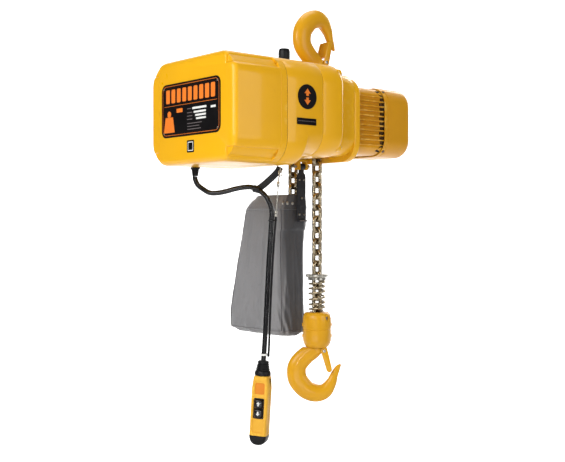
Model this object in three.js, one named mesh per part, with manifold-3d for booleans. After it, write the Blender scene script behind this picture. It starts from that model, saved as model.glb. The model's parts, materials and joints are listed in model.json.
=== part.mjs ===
// Electric chain hoist, 2 t class, single fall of chain, hook suspended.
// Units are millimetres. +X runs from the controller cover to the motor, +Z is up.
// The origin is the saddle of the top hook, the point that rests on the beam or trolley pin.
import * as THREE from 'three';
import { mergeVertices } from 'three/addons/utils/BufferGeometryUtils.js';
import Module from 'manifold-3d';

const wasm = await Module();
wasm.setup();

// ---- driving dimensions -------------------------------------------------------------------
const GAP = 0.3;
const BODY_TOP = -122;
const BODY_HALF = 175;
const BODY_BOTTOM = -356;
const BODY_CORNER = 60;
const COVER_START = -412;
const COVER_END = -254;
const COVER_BOTTOM = -380;
const LOBE_END = -190;
const LOBE_BOTTOM = -380;
const CASE_SEAM = -139;
const MAIN_END = -64;
const WALL = 5;
const CENTRE_END = 28;
const CENTRE_TOP = -132;
const CENTRE_BOTTOM = -347;
const CENTRE_NEAR = -115;
const CENTRE_FAR = 128;
const FLANGE_END = 50;
const FLANGE_BOTTOM = -361;
const MOTOR_AXIS_Z = -246;
const MOTOR_END = 164;
const MOTOR_HALF = 92;
const FIN_DEPTH = 9;
const FIN_COUNT = 11;
const FIN_PITCH = 13;
const FAN_COVER_HALF = 95;
const FAN_COVER_END = 282;
const SHEAVE_Y = 50;
const SHEAVE_Z = -290;
const SHEAVE_POCKETS = 5;
const CHAIN_WIRE = 10.2;
const CHAIN_PITCH = 30.2;
const CHAIN_WIDTH = 34;
const LOAD_LINE_Y = 0;
const NO_LOAD_LINE_Y = 98;
const FIRST_LINK_Z = -768;
const LOAD_LINKS = 15;
const NO_LOAD_LINKS = 6;
const BLOCK_TOP = -762;
const BLOCK_BOTTOM = -856;
const BLOCK_RADIUS = 38;
const LIMIT_FLANGE_TOP = -660;
const SPRING_TOP = -676;
const SPRING_TURNS = 6;
const SPRING_RADIUS = 20.7;
const SPRING_WIRE = 5.4;
const BOTTOM_SADDLE = -957;
const HOOK_FACING = new THREE.Vector3(0.7627, -0.6468, 0);
const CABLE_RADIUS = 6.5;
const STRAIN_RADIUS = 1.5;
const GLAND = [-312, 123];
const PENDANT_TOP = [-203, -21, -872];
const PENDANT_TURN = 56.3;
const PENDANT_LEAN = 3.2;
const LEAN_DIRECTION = 49.7;
const PENDANT_LENGTH = 212;
const BOOT_LENGTH = 37;
const BUTTON_DEPTHS = { up_button: -107, down_button: -131 };
const BAG_TOP = -445;
const BAG_BOTTOM = -838;

// ---- colours -------------------------------------------------------------------------------
function material(color, roughness, metalness) {
  return new THREE.MeshStandardMaterial({ color, roughness, metalness });
}
const yellow = material(0xf0ad1c, 0.35, 0);
const castYellow = material(0xe09f22, 0.5, 0);
const hookYellow = material(0xf0a516, 0.45, 0);
const labelBlack = material(0x14100f, 0.4, 0);
const plasticYellow = material(0xf0c050, 0.5, 0);
const rubber = material(0x18191c, 0.6, 0);
const steel = material(0x8a8175, 0.35, 1);
const bright = material(0xb8b8b8, 0.25, 1);
const fabric = material(0x77787a, 0.9, 0);
const strapGrey = material(0x3a3b3f, 0.7, 0);
const copper = material(0x9a5a30, 0.45, 1);
const iron = material(0x55565a, 0.6, 0.6);
const greyPlastic = material(0x9a9c9e, 0.55, 0);

const hoist = new THREE.Group();

// ---- solids --------------------------------------------------------------------------------
function solid(geometry) {
  const bare = geometry.clone();
  bare.deleteAttribute('normal');
  bare.deleteAttribute('uv');
  const merged = mergeVertices(bare, 1e-4);
  return new wasm.Manifold(new wasm.Mesh({
    numProp: 3,
    vertProperties: new Float32Array(merged.attributes.position.array),
    triVerts: new Uint32Array(merged.index.array),
  }));
}

// A solid from a geometry whose triangles may all face inwards.
function solidEitherWay(geometry) {
  const body = solid(geometry);
  if (body.volume() > 0) {
    return body;
  }
  const index = geometry.index.array;
  for (let i = 0; i < index.length; i += 3) {
    [index[i], index[i + 1]] = [index[i + 1], index[i]];
  }
  return solid(geometry);
}

function geometryOf(body) {
  const mesh = body.getMesh();
  const geometry = new THREE.BufferGeometry();
  const positions = new Float32Array(mesh.numVert * 3);
  for (let i = 0; i < mesh.numVert; i += 1) {
    for (let k = 0; k < 3; k += 1) {
      positions[3 * i + k] = mesh.vertProperties[mesh.numProp * i + k];
    }
  }
  geometry.setAttribute('position', new THREE.BufferAttribute(positions, 3));
  geometry.setIndex(new THREE.BufferAttribute(new Uint32Array(mesh.triVerts), 1));
  return geometry;
}

function add(name, body, look) {
  const geometry = geometryOf(body);
  geometry.computeVertexNormals();
  const mesh = new THREE.Mesh(geometry, look);
  mesh.name = name;
  hoist.add(mesh);
}

function union(bodies) {
  return bodies.reduce((sum, next) => sum.add(next));
}

// ---- shape helpers -------------------------------------------------------------------------
// A rectangle with round corners in the YZ plane.
function roundedShape(y0, y1, z0, z1, corner) {
  const shape = new THREE.Shape();
  shape.moveTo(y0 + corner, z0);
  shape.lineTo(y1 - corner, z0);
  shape.absarc(y1 - corner, z0 + corner, corner, -Math.PI / 2, 0);
  shape.lineTo(y1, z1 - corner);
  shape.absarc(y1 - corner, z1 - corner, corner, 0, Math.PI / 2);
  shape.lineTo(y0 + corner, z1);
  shape.absarc(y0 + corner, z1 - corner, corner, Math.PI / 2, Math.PI);
  shape.lineTo(y0, z0 + corner);
  shape.absarc(y0 + corner, z0 + corner, corner, Math.PI, 1.5 * Math.PI);
  return shape;
}

// Extrudes a YZ shape along X from x0 to x1, with edges rounded by bevel.
function alongX(shape, x0, x1, bevel = 0, curveSegments = 7) {
  const geometry = new THREE.ExtrudeGeometry(shape, {
    depth: x1 - x0 - 2 * bevel,
    bevelEnabled: bevel > 0,
    bevelSize: bevel,
    bevelThickness: bevel,
    bevelOffset: -bevel,
    bevelSegments: 2,
    curveSegments,
  });
  const basis = new THREE.Matrix4().makeBasis(
    new THREE.Vector3(0, 1, 0), new THREE.Vector3(0, 0, 1), new THREE.Vector3(1, 0, 0));
  geometry.applyMatrix4(basis);
  geometry.translate(x0 + bevel, 0, 0);
  return solid(geometry);
}

function roundedBlock(x, y, z, corner, bevel = 0, curveSegments = 7) {
  return alongX(roundedShape(y[0], y[1], z[0], z[1], corner), x[0], x[1], bevel, curveSegments);
}

function block(x, y, z) {
  const geometry = new THREE.BoxGeometry(x[1] - x[0], y[1] - y[0], z[1] - z[0]);
  geometry.translate((x[0] + x[1]) / 2, (y[0] + y[1]) / 2, (z[0] + z[1]) / 2);
  return solid(geometry);
}

const AXES = { x: [0, 0, -Math.PI / 2], y: [0, 0, 0], z: [Math.PI / 2, 0, 0] };

// A cylinder or cone whose axis runs along x, y or z, centred at a point.
function rod(axis, centre, radius, length, sides = 16, endRadius = radius) {
  const geometry = new THREE.CylinderGeometry(endRadius, radius, length, sides);
  const [rx, ry, rz] = AXES[axis];
  geometry.applyMatrix4(new THREE.Matrix4().makeRotationFromEuler(new THREE.Euler(rx, ry, rz)));
  geometry.translate(...centre);
  return solid(geometry);
}

// Turns a closed profile of [radius, height] points about an axis through a point.
function turned(axis, centre, profile, sides = 24) {
  const points = profile.map(([r, h]) => new THREE.Vector2(r, h));
  const geometry = new THREE.LatheGeometry([...points, points[0].clone()], sides);
  const [rx, ry, rz] = AXES[axis];
  geometry.applyMatrix4(new THREE.Matrix4().makeRotationFromEuler(new THREE.Euler(rx, ry, rz)));
  geometry.translate(...centre);
  const body = solid(geometry);
  return body.volume() < 0 ? turned(axis, centre, [...profile].reverse(), sides) : body;
}

// Bends a cylinder along a curve; size(t) gives its half width along side and along across.
function bent(curve, across, size, steps, sides) {
  const geometry = new THREE.CylinderGeometry(1, 1, 1, sides, steps);
  const position = geometry.attributes.position;
  for (let i = 0; i < position.count; i += 1) {
    const t = position.getY(i) + 0.5;
    const centre = curve.getPointAt(t);
    const side = new THREE.Vector3().crossVectors(curve.getTangentAt(t), across).normalize();
    const [wide, thick] = size(t);
    centre.addScaledVector(side, position.getX(i) * wide);
    centre.addScaledVector(across, position.getZ(i) * thick);
    position.setXYZ(i, centre.x, centre.y, centre.z);
  }
  return solidEitherWay(geometry);
}

// A tube of constant radius along a path.
function tube(path, radius, steps, sides) {
  const ring = new THREE.Shape();
  for (let i = 0; i < sides; i += 1) {
    const angle = (2 * Math.PI * i) / sides;
    const point = [radius * Math.cos(angle), radius * Math.sin(angle)];
    if (i === 0) {
      ring.moveTo(...point);
    } else {
      ring.lineTo(...point);
    }
  }
  return solid(new THREE.ExtrudeGeometry(ring, { steps, extrudePath: path, bevelEnabled: false }));
}

// ---- hooks ---------------------------------------------------------------------------------
// Centre line of a hook from its neck to its point: [sideways, up, half width], saddle at 0, 0.
const HOOK_LINE = [
  [3, 108, 19], [-9, 93, 22], [-33, 75, 24], [-53, 50, 25.5], [-54, 20, 26], [-42, -1, 26],
  [-24, -17, 25], [0, -23.5, 23.5], [22, -17, 20], [38, 4, 14.5], [46, 24, 10.5],
  [55, 43, 7.5], [61, 51, 4],
];
const NECK_START = 100.4;
const NECK_END = 111;
const NECK_RADIUS = 18;
const HOOK_THICK = 0.68;
const SHANK_RADIUS = 14;
const LATCH_PIVOT = [19, 91.5];
const LATCH_TIP = [34, 36];
const LATCH_HALF = 17.5;
const LATCH_INSIDE = 15;
const LATCH_EYE = 7.5;

function hookFrame(facing, up, origin) {
  const across = new THREE.Vector3().crossVectors(facing, up).normalize();
  const at = ([u, v], n = 0) => origin.clone()
    .addScaledVector(facing, u).addScaledVector(up, v).addScaledVector(across, n);
  return { across, at, facing, up };
}

// Extrudes an outline given in hook coordinates to both sides of the hook's plane.
function plateInHook(frame, outline, half) {
  const shape = new THREE.Shape(outline.map(([u, v]) => new THREE.Vector2(u, v)));
  const geometry = new THREE.ExtrudeGeometry(shape, { depth: 2 * half, bevelEnabled: false });
  geometry.translate(0, 0, -half);
  const basis = new THREE.Matrix4().makeBasis(frame.facing, frame.up, frame.across);
  basis.setPosition(frame.at([0, 0]));
  geometry.applyMatrix4(basis);
  return solid(geometry);
}

function circleOutline([u, v], radius, sides = 14) {
  return Array.from({ length: sides }, (_, i) => {
    const angle = (2 * Math.PI * i) / sides;
    return [u + radius * Math.cos(angle), v + radius * Math.sin(angle)];
  });
}

// A straight bar outline between two points with square ends.
function barOutline([u0, v0], [u1, v1], half) {
  const length = Math.hypot(u1 - u0, v1 - v0);
  const side = [(half * (v0 - v1)) / length, (half * (u1 - u0)) / length];
  return [
    [u0 - side[0], v0 - side[1]], [u1 - side[0], v1 - side[1]],
    [u1 + side[0], v1 + side[1]], [u0 + side[0], v0 + side[1]],
  ];
}

function hookBody(frame) {
  const line = new THREE.CatmullRomCurve3(HOOK_LINE.map((p) => frame.at(p)));
  const lengths = line.getLengths(240);
  const total = lengths[240];
  const knots = HOOK_LINE.map((_, i) => lengths[(240 * i) / (HOOK_LINE.length - 1)] / total);
  const width = (t) => {
    const next = Math.max(1, knots.findIndex((knot) => knot >= t));
    const share = (t - knots[next - 1]) / (knots[next] - knots[next - 1]);
    const half = THREE.MathUtils.lerp(HOOK_LINE[next - 1][2], HOOK_LINE[next][2], share);
    return [half, Math.min(half, HOOK_THICK * half + 2.5)];
  };
  const [u, v] = LATCH_PIVOT;
  const lug = plateInHook(frame, barOutline([u - 20, v], [u + 6, v], 6), 11);
  const bore = plateInHook(frame, circleOutline(LATCH_PIVOT, 3 + GAP), 40);
  const below = plateInHook(frame, barOutline([-120, NECK_START - 100], [120, NECK_START - 100], 100), 60);
  return bent(line, frame.across, width, 24, 10).intersect(below).add(lug).subtract(bore);
}

// The round neck above the hook body and the thinner shank that its nut holds.
function hookShank(frame, shankEnd) {
  const start = frame.at([0, NECK_START - 6]).z;
  const shoulder = frame.at([0, NECK_END]).z;
  const neck = rod('z', [0, 0, (start + shoulder) / 2], NECK_RADIUS, Math.abs(shoulder - start));
  const shank = rod('z', [0, 0, (start + shankEnd) / 2], SHANK_RADIUS, Math.abs(shankEnd - start), 16);
  return neck.add(shank);
}

function latchBody(frame) {
  const [u, v] = LATCH_PIVOT;
  const plate = plateInHook(frame, barOutline([u, v - 3], LATCH_TIP, 4.8), LATCH_HALF);
  const eyes = plateInHook(frame, circleOutline(LATCH_PIVOT, LATCH_EYE), LATCH_HALF);
  const inside = plateInHook(frame, barOutline([u - 20, v], [u + 9, v], 13), LATCH_INSIDE);
  const bore = plateInHook(frame, circleOutline(LATCH_PIVOT, 3 + GAP), 40);
  return plate.add(eyes).subtract(inside).subtract(bore);
}

const topFrame = hookFrame(new THREE.Vector3(1, 0, 0), new THREE.Vector3(0, 0, -1), new THREE.Vector3());
const bottomFrame = hookFrame(
  HOOK_FACING.clone().normalize(), new THREE.Vector3(0, 0, 1), new THREE.Vector3(0, 0, BOTTOM_SADDLE));

function addHook(prefix, frame, shankEnd) {
  add(`${prefix}_hook`, hookBody(frame).add(hookShank(frame, shankEnd)), hookYellow);
  add(`${prefix}_latch`, latchBody(frame), hookYellow);
  add(`${prefix}_latch_pin`, plateInHook(frame, circleOutline(LATCH_PIVOT, 3), LATCH_HALF + 1.5), bright);
}

// ---- the suspension ------------------------------------------------------------------------
addHook('top', topFrame, -176);
add('top_hook_nut', rod('z', [0, 0, -168], 22, 14, 6).subtract(rod('z', [0, 0, -168], 14 + GAP, 20)), bright);
add('top_hook_bearing', turned('z', [0, 0, -157], [[15, -3.5], [24, -3.5], [24, 3.5], [15, 3.5]]), bright);

// ---- casings -------------------------------------------------------------------------------
// The controller cover: a deep dish, open towards the gear case, with a screw pocket per corner.
function controllerCover() {
  const outer = roundedBlock([COVER_START, COVER_END + 30], [-BODY_HALF, BODY_HALF],
    [COVER_BOTTOM, BODY_TOP], BODY_CORNER, 12, 6);
  const trim = block([COVER_END, COVER_END + 60], [-200, 200], [-420, -80]);
  const inner = roundedBlock([COVER_START + WALL, COVER_END + 40], [-BODY_HALF + WALL, BODY_HALF - WALL],
    [COVER_BOTTOM + WALL, BODY_TOP - WALL], BODY_CORNER - WALL, 0, 4);
  const pockets = [];
  const liners = [];
  for (const y of [-1, 1]) {
    for (const z of [COVER_BOTTOM, BODY_TOP]) {
      const up = z === COVER_BOTTOM ? 1 : -1;
      const zs = [z - up * 30, z + up * 31].sort((a, b) => a - b);
      const ys = [y * 143, y * 210].sort((a, b) => a - b);
      pockets.push(roundedBlock([COVER_START - 20, COVER_END - 20], ys, zs, 14, 6, 2));
      const linerZ = [z + up * 2, z + up * 36].sort((a, b) => a - b);
      const linerY = [y * 138, y * 174].sort((a, b) => a - b);
      liners.push(roundedBlock([COVER_START + 2, COVER_END - 16], linerY, linerZ, 16, 0, 2));
    }
  }
  const skin = outer.subtract(trim);
  const hollow = inner.subtract(union(liners));
  return skin.subtract(hollow).subtract(union(pockets));
}
add('controller_cover', controllerCover(), yellow);

function gearCase() {
  const start = COVER_END + GAP;
  const bowl = roundedBlock([start, CASE_SEAM - GAP], [-BODY_HALF, BODY_HALF], [BODY_BOTTOM, BODY_TOP],
    BODY_CORNER, 0, 6);
  const lobe = roundedBlock([start - 20, LOBE_END], [-BODY_HALF, BODY_HALF], [LOBE_BOTTOM, BODY_TOP - 60],
    BODY_CORNER - 4, 9, 6).subtract(block([start - 40, start], [-200, 200], [-420, -80]));
  const inner = roundedBlock([start + 6, CASE_SEAM + 20], [-BODY_HALF + WALL, BODY_HALF - WALL],
    [BODY_BOTTOM + WALL, BODY_TOP - WALL], BODY_CORNER - WALL, 0, 4);
  const wiring = rod('x', [start, -110, -170], 12, 40, 12);
  return bowl.add(lobe).subtract(inner).subtract(wiring);
}
add('gear_case', gearCase(), yellow);

// The main casing closes the gear case and carries the top hook's seat.
function mainCase() {
  const outer = roundedBlock([CASE_SEAM - 30, MAIN_END], [-BODY_HALF, BODY_HALF], [BODY_BOTTOM, BODY_TOP],
    BODY_CORNER, 14, 6).subtract(block([CASE_SEAM - 60, CASE_SEAM], [-200, 200], [-420, -80]));
  const inner = roundedBlock([CASE_SEAM - 30, MAIN_END - WALL], [-BODY_HALF + WALL, BODY_HALF - WALL],
    [BODY_BOTTOM + WALL, BODY_TOP - WALL], BODY_CORNER - WALL, 0, 4);
  const motorBore = rod('x', [MAIN_END, 0, MOTOR_AXIS_Z], 11, 60, 14);
  const sheaveBore = rod('x', [MAIN_END, SHEAVE_Y, SHEAVE_Z], 20 + GAP, 60, 16);
  return outer.subtract(inner).subtract(motorBore).subtract(sheaveBore);
}
add('main_case', mainCase(), yellow);

function centreCase() {
  const start = MAIN_END + GAP;
  const outer = roundedBlock([start, CENTRE_END], [CENTRE_NEAR, CENTRE_FAR], [CENTRE_BOTTOM, CENTRE_TOP],
    48, 0, 5);
  const inner = roundedBlock([start - 20, CENTRE_END + 20], [CENTRE_NEAR + WALL, CENTRE_FAR - WALL],
    [CENTRE_BOTTOM + WALL, CENTRE_TOP - WALL], 43, 0, 4);
  const seat = block([-34, CENTRE_END], [-34, 34], [-153, CENTRE_TOP - 2]);
  const swivelBore = rod('z', [0, 0, -140], 15, 60, 20);
  const chainMouth = block([-21, 21], [-21, 119], [-370, -316]);
  const web = block([start, start + 4], [-60, 115], [CENTRE_BOTTOM + 2, -150]);
  const motorBore = rod('x', [start, 0, MOTOR_AXIS_Z], 11, 60, 14);
  const sheaveBore = rod('x', [start, SHEAVE_Y, SHEAVE_Z], 20 + GAP, 60, 16);
  return outer.subtract(inner).add(seat).add(web).subtract(swivelBore).subtract(chainMouth)
    .subtract(motorBore).subtract(sheaveBore);
}
add('centre_case', centreCase(), yellow);

function motorFlange() {
  const outer = roundedBlock([CENTRE_END + GAP, FLANGE_END], [CENTRE_NEAR, -CENTRE_NEAR],
    [FLANGE_BOTTOM, CENTRE_TOP - 6], 50, 3, 5);
  const motorBore = rod('x', [40, 0, MOTOR_AXIS_Z], 15 + GAP, 60, 16);
  const sheaveSeat = rod('x', [CENTRE_END, SHEAVE_Y, SHEAVE_Z], 20 + GAP, 28, 16);
  const notch = block([20, 36], [-45, 45], [-380, CENTRE_BOTTOM]);
  return outer.subtract(motorBore).subtract(sheaveSeat).subtract(notch);
}
add('motor_flange', motorFlange(), yellow);

// ---- motor ---------------------------------------------------------------------------------
// The housing is a rounded square in section with horizontal fins on its two flat flanks.
const MOTOR_CORNER = 46;

function motorSquare(x0, x1, half, corner, bevel = 0) {
  return roundedBlock([x0, x1], [-half, half], [MOTOR_AXIS_Z - half, MOTOR_AXIS_Z + half], corner, bevel, 5);
}

function motorHousing() {
  const start = FLANGE_END + GAP;
  const end = MOTOR_END - GAP;
  const inner = MOTOR_HALF - FIN_DEPTH;
  const barrel = motorSquare(start, end, MOTOR_HALF, MOTOR_CORNER)
    .intersect(block([start, end], [-inner, inner], [MOTOR_AXIS_Z - 100, MOTOR_AXIS_Z + 100]));
  const fins = [];
  for (let i = 0; i < FIN_COUNT; i += 1) {
    const z = MOTOR_AXIS_Z + (i - (FIN_COUNT - 1) / 2) * FIN_PITCH;
    fins.push(block([start, end], [-100, 100], [z - 2, z + 2]));
  }
  const envelope = motorSquare(start, end, MOTOR_HALF, MOTOR_CORNER);
  const bore = rod('x', [(start + end) / 2, 0, MOTOR_AXIS_Z], 74, 200, 32);
  return barrel.add(union(fins).intersect(envelope)).subtract(bore);
}
add('motor_housing', motorHousing(), castYellow);

// The fan cover is a rounded-square cap with a low round boss and an air hole in its end.
function fanCover() {
  const wall = 2.5;
  const face = FAN_COVER_END - 8;
  const edge = 24;
  const behind = block([MOTOR_END - 80, MOTOR_END], [-120, 120], [-380, -100]);
  const outer = motorSquare(MOTOR_END - 60, face, FAN_COVER_HALF, MOTOR_CORNER + 3, edge);
  const inner = motorSquare(MOTOR_END - 60, face - wall, FAN_COVER_HALF - wall, MOTOR_CORNER + 0.5, edge - wall);
  const boss = turned('x', [face, 0, MOTOR_AXIS_Z], [[0, -2], [46, -2], [46, 0], [38, 6], [24, 8], [0, 8]], 26);
  const hollowBoss = turned('x', [face - wall, 0, MOTOR_AXIS_Z], [[0, -6], [46, -6], [46, 0], [38, 6], [24, 8], [0, 8]], 26);
  return outer.add(boss).subtract(behind).subtract(inner).subtract(hollowBoss)
    .subtract(rod('x', [face, 0, MOTOR_AXIS_Z], 18, 40, 20));
}
add('fan_cover', fanCover(), castYellow);

add('stator', turned('x', [105, 0, MOTOR_AXIS_Z], [[52, -38], [73.5, -38], [73.5, 38], [52, 38]], 28), iron);
add('stator_winding', turned('x', [148, 0, MOTOR_AXIS_Z],
  [[54, -4.5], [70, -4.5], [70, 6], [54, 6]], 24), copper);

// ---- gears ---------------------------------------------------------------------------------
const GEAR_MODULE = 4;
const DRIVE_TEETH = 7;
const IDLE_TEETH = 29;
const IDLE_PINION_TEETH = 11;
const LOAD_TEETH = 28;

// The idle shaft stands where both gear pairs mesh.
function idlePlace() {
  const first = (GEAR_MODULE * (DRIVE_TEETH + IDLE_TEETH)) / 2;
  const second = (GEAR_MODULE * (IDLE_PINION_TEETH + LOAD_TEETH)) / 2;
  const along = new THREE.Vector2(SHEAVE_Y, SHEAVE_Z - MOTOR_AXIS_Z);
  const apart = along.length();
  along.normalize();
  const share = (first ** 2 - second ** 2 + apart ** 2) / (2 * apart);
  const aside = Math.sqrt(first ** 2 - share ** 2);
  return [along.x * share - along.y * aside, MOTOR_AXIS_Z + along.y * share + along.x * aside];
}
const [IDLE_Y, IDLE_Z] = idlePlace();

// A stub-toothed spur gear on an axis along X; phase turns a tooth onto that angle.
function gear(x, y, z, teeth, width, phase, bore) {
  const pitch = (GEAR_MODULE * teeth) / 2;
  const root = pitch - 0.85 * GEAR_MODULE;
  const tip = pitch + 0.5 * GEAR_MODULE;
  const step = (2 * Math.PI) / teeth;
  const shape = new THREE.Shape();
  for (let i = 0; i < teeth; i += 1) {
    const middle = phase + i * step;
    const corners = [[root, -0.3], [tip, -0.13], [tip, 0.13], [root, 0.3]];
    corners.forEach(([radius, share], k) => {
      const angle = middle + share * step;
      const point = [y + radius * Math.cos(angle), z + radius * Math.sin(angle)];
      if (i + k === 0) {
        shape.moveTo(...point);
      } else {
        shape.lineTo(...point);
      }
    });
  }
  const disc = alongX(shape, x - width / 2, x + width / 2, 0, 1);
  return bore ? disc.subtract(rod('x', [x, y, z], bore, width + 10, 16)) : disc;
}

const DRIVE_X = -166;
const LOAD_GEAR_X = -118;
const driveAngle = Math.atan2(IDLE_Z - MOTOR_AXIS_Z, IDLE_Y);
const idleAngle = Math.atan2(SHEAVE_Z - IDLE_Z, SHEAVE_Y - IDLE_Y);
const halfTooth = (teeth) => Math.PI / teeth;

// Motor spindle: rotor core, shaft and drive pinion on one axis.
add('motor_shaft', union([
  rod('x', [25, 0, MOTOR_AXIS_Z], 7, 404, 14),
  gear(DRIVE_X, 0, MOTOR_AXIS_Z, DRIVE_TEETH, 20, driveAngle, 0),
]), bright);
add('rotor', rod('x', [105, 0, MOTOR_AXIS_Z], 50.5, 76, 28)
  .subtract(rod('x', [105, 0, MOTOR_AXIS_Z], 7 + GAP, 90, 14)), iron);
add('motor_bearing', turned('x', [40, 0, MOTOR_AXIS_Z], [[7.4, -5], [15, -5], [15, 5], [7.4, 5]], 14), bright);
add('brake_disc', turned('x', [170, 0, MOTOR_AXIS_Z], [[7.4, -3], [60, -3], [60, 3], [7.4, 3]], 24), iron);
add('brake_coil', turned('x', [186, 0, MOTOR_AXIS_Z], [[10, -9], [58, -9], [58, 9], [10, 9]], 24), copper);

function coolingFan() {
  const blades = [];
  for (let i = 0; i < 7; i += 1) {
    const blade = block([208, 232], [-1.2, 1.2], [16, 78]);
    blades.push(blade.rotate([(i * 360) / 7, 0, 0]).translate([0, 0, MOTOR_AXIS_Z]));
  }
  const hub = rod('x', [218, 0, MOTOR_AXIS_Z], 20, 16, 20);
  const plate = rod('x', [209, 0, MOTOR_AXIS_Z], 78, 3, 28);
  return union([hub, plate, ...blades]).subtract(rod('x', [218, 0, MOTOR_AXIS_Z], 7 + GAP, 60, 14));
}
add('cooling_fan', coolingFan(), greyPlastic);

add('idle_shaft', rod('x', [-143, IDLE_Y, IDLE_Z], 7, 130, 14), bright);
const idleWheelPhase = driveAngle + Math.PI + halfTooth(IDLE_TEETH);
add('idle_gear', gear(DRIVE_X, IDLE_Y, IDLE_Z, IDLE_TEETH, 16, idleWheelPhase, 7 + GAP), steel);
add('idle_pinion', gear(LOAD_GEAR_X, IDLE_Y, IDLE_Z, IDLE_PINION_TEETH, 24, idleAngle, 7 + GAP), steel);
add('load_gear', gear(LOAD_GEAR_X, SHEAVE_Y, SHEAVE_Z, LOAD_TEETH, 20,
  idleAngle + Math.PI + halfTooth(LOAD_TEETH), 12 + GAP), steel);

// ---- load sheave ---------------------------------------------------------------------------
function loadSheave() {
  const spool = turned('x', [0, SHEAVE_Y, SHEAVE_Z],
    [[12.3, -23], [51, -23], [51, -19], [31, -19], [31, 19], [51, 19], [51, 23], [12.3, 23]], 30);
  const teeth = [];
  for (let i = 0; i < SHEAVE_POCKETS; i += 1) {
    const tooth = block([-18.9, 18.9], [28, 41], [-6, 6]).rotate([(360 * i) / SHEAVE_POCKETS, 0, 0]);
    teeth.push(tooth.translate([0, SHEAVE_Y, SHEAVE_Z]));
  }
  return union([spool, ...teeth]);
}
add('load_sheave', loadSheave(), steel);
add('sheave_shaft', rod('x', [-50, SHEAVE_Y, SHEAVE_Z], 12, 166, 18), bright);
for (const [name, x] of [['sheave_bearing_left', MAIN_END + 1], ['sheave_bearing_right', 30]]) {
  add(name, turned('x', [x, SHEAVE_Y, SHEAVE_Z], [[12.4, -4], [19.9, -4], [19.9, 4], [12.4, 4]], 14), bright);
}

// ---- chains --------------------------------------------------------------------------------
// One link: a stadium of round wire in a vertical plane, turned by angle about the vertical.
class LinkCurve extends THREE.Curve {
  constructor(centreZ, y, angle) {
    super();
    this.half = (CHAIN_PITCH + CHAIN_WIRE) / 2 - 0.4;
    this.round = (CHAIN_WIDTH - CHAIN_WIRE) / 2;
    this.centre = new THREE.Vector3(0, y, centreZ);
    this.side = new THREE.Vector3(Math.cos(angle), Math.sin(angle), 0);
  }

  getPoint(t, target = new THREE.Vector3()) {
    const angle = 2 * Math.PI * t;
    const straight = this.half - this.round;
    const up = this.round * Math.sin(angle) + Math.sign(Math.sin(angle)) * straight;
    const point = this.centre.clone().addScaledVector(this.side, this.round * Math.cos(angle));
    point.z += Math.abs(Math.sin(angle)) < 1e-9 ? 0 : up;
    return target.copy(point);
  }
}

function link(centreZ, y, angle) {
  const curve = new LinkCurve(centreZ, y, angle);
  const steps = 8;
  const sides = 5;
  const across = new THREE.Vector3().crossVectors(curve.side, new THREE.Vector3(0, 0, 1));
  const rings = [];
  for (let i = 0; i < steps; i += 1) {
    const t = (i + 0.5) / steps;
    const centre = curve.getPoint(t);
    const outward = centre.clone().sub(curve.centre);
    const bend = THREE.MathUtils.clamp(outward.z, curve.round - curve.half, curve.half - curve.round);
    outward.z -= bend;
    outward.normalize();
    rings.push({ centre, outward });
  }
  const positions = [];
  const index = [];
  rings.forEach(({ centre, outward }, i) => {
    for (let k = 0; k < sides; k += 1) {
      const angle = (2 * Math.PI * k) / sides;
      const point = centre.clone()
        .addScaledVector(outward, (CHAIN_WIRE / 2) * Math.cos(angle))
        .addScaledVector(across, (CHAIN_WIRE / 2) * Math.sin(angle));
      positions.push(point.x, point.y, point.z);
      const next = ((i + 1) % steps) * sides;
      const a = i * sides + k;
      const b = i * sides + ((k + 1) % sides);
      const c = next + k;
      const d = next + ((k + 1) % sides);
      index.push(a, b, c, b, d, c);
    }
  });
  const geometry = new THREE.BufferGeometry();
  geometry.setAttribute('position', new THREE.BufferAttribute(new Float32Array(positions), 3));
  geometry.setIndex(index);
  return solidEitherWay(geometry);
}

function chain(firstZ, y, count, firstAngle) {
  const links = [];
  for (let i = 0; i < count; i += 1) {
    links.push(link(firstZ + i * CHAIN_PITCH, y, firstAngle + (i % 2) * (Math.PI / 2)));
  }
  return union(links);
}

const LINK_ANGLE = Math.PI / 4 - 0.7037;
add('load_chain', chain(FIRST_LINK_Z, LOAD_LINE_Y, LOAD_LINKS, LINK_ANGLE), steel);
const noLoadStart = FIRST_LINK_Z + (LOAD_LINKS - NO_LOAD_LINKS) * CHAIN_PITCH;
add('no_load_chain', chain(noLoadStart, NO_LOAD_LINE_Y, NO_LOAD_LINKS, LINK_ANGLE), steel);

// ---- hook block, limit spring and bottom hook ----------------------------------------------
const CHAIN_PIN_Z = FIRST_LINK_Z - CHAIN_PITCH / 2 + 6;
const pinDirection = LINK_ANGLE + Math.PI / 2;

function chainPin(radius, length) {
  return rod('x', [0, 0, 0], radius, length, 14)
    .rotate([0, 0, THREE.MathUtils.radToDeg(pinDirection)]).translate([0, 0, CHAIN_PIN_Z]);
}

function hookBlock() {
  const outer = turned('z', [0, 0, 0], [
    [0, BLOCK_TOP], [28, BLOCK_TOP], [34, BLOCK_TOP - 4], [BLOCK_RADIUS, BLOCK_TOP - 18],
    [BLOCK_RADIUS, BLOCK_BOTTOM + 20], [33, BLOCK_BOTTOM + 5], [28, BLOCK_BOTTOM], [0, BLOCK_BOTTOM],
  ], 22);
  const chainWell = rod('z', [0, 0, -780], 19.5, 44, 20);
  const chamber = rod('z', [0, 0, -828], 29, 36, 24);
  const neck = rod('z', [0, 0, -850], 21.5, 30, 24);
  return outer.subtract(chainWell).subtract(chamber).subtract(neck).subtract(chainPin(5.3, 120));
}
add('hook_block', hookBlock(), hookYellow);
add('chain_pin', chainPin(5, 70), bright);

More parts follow.
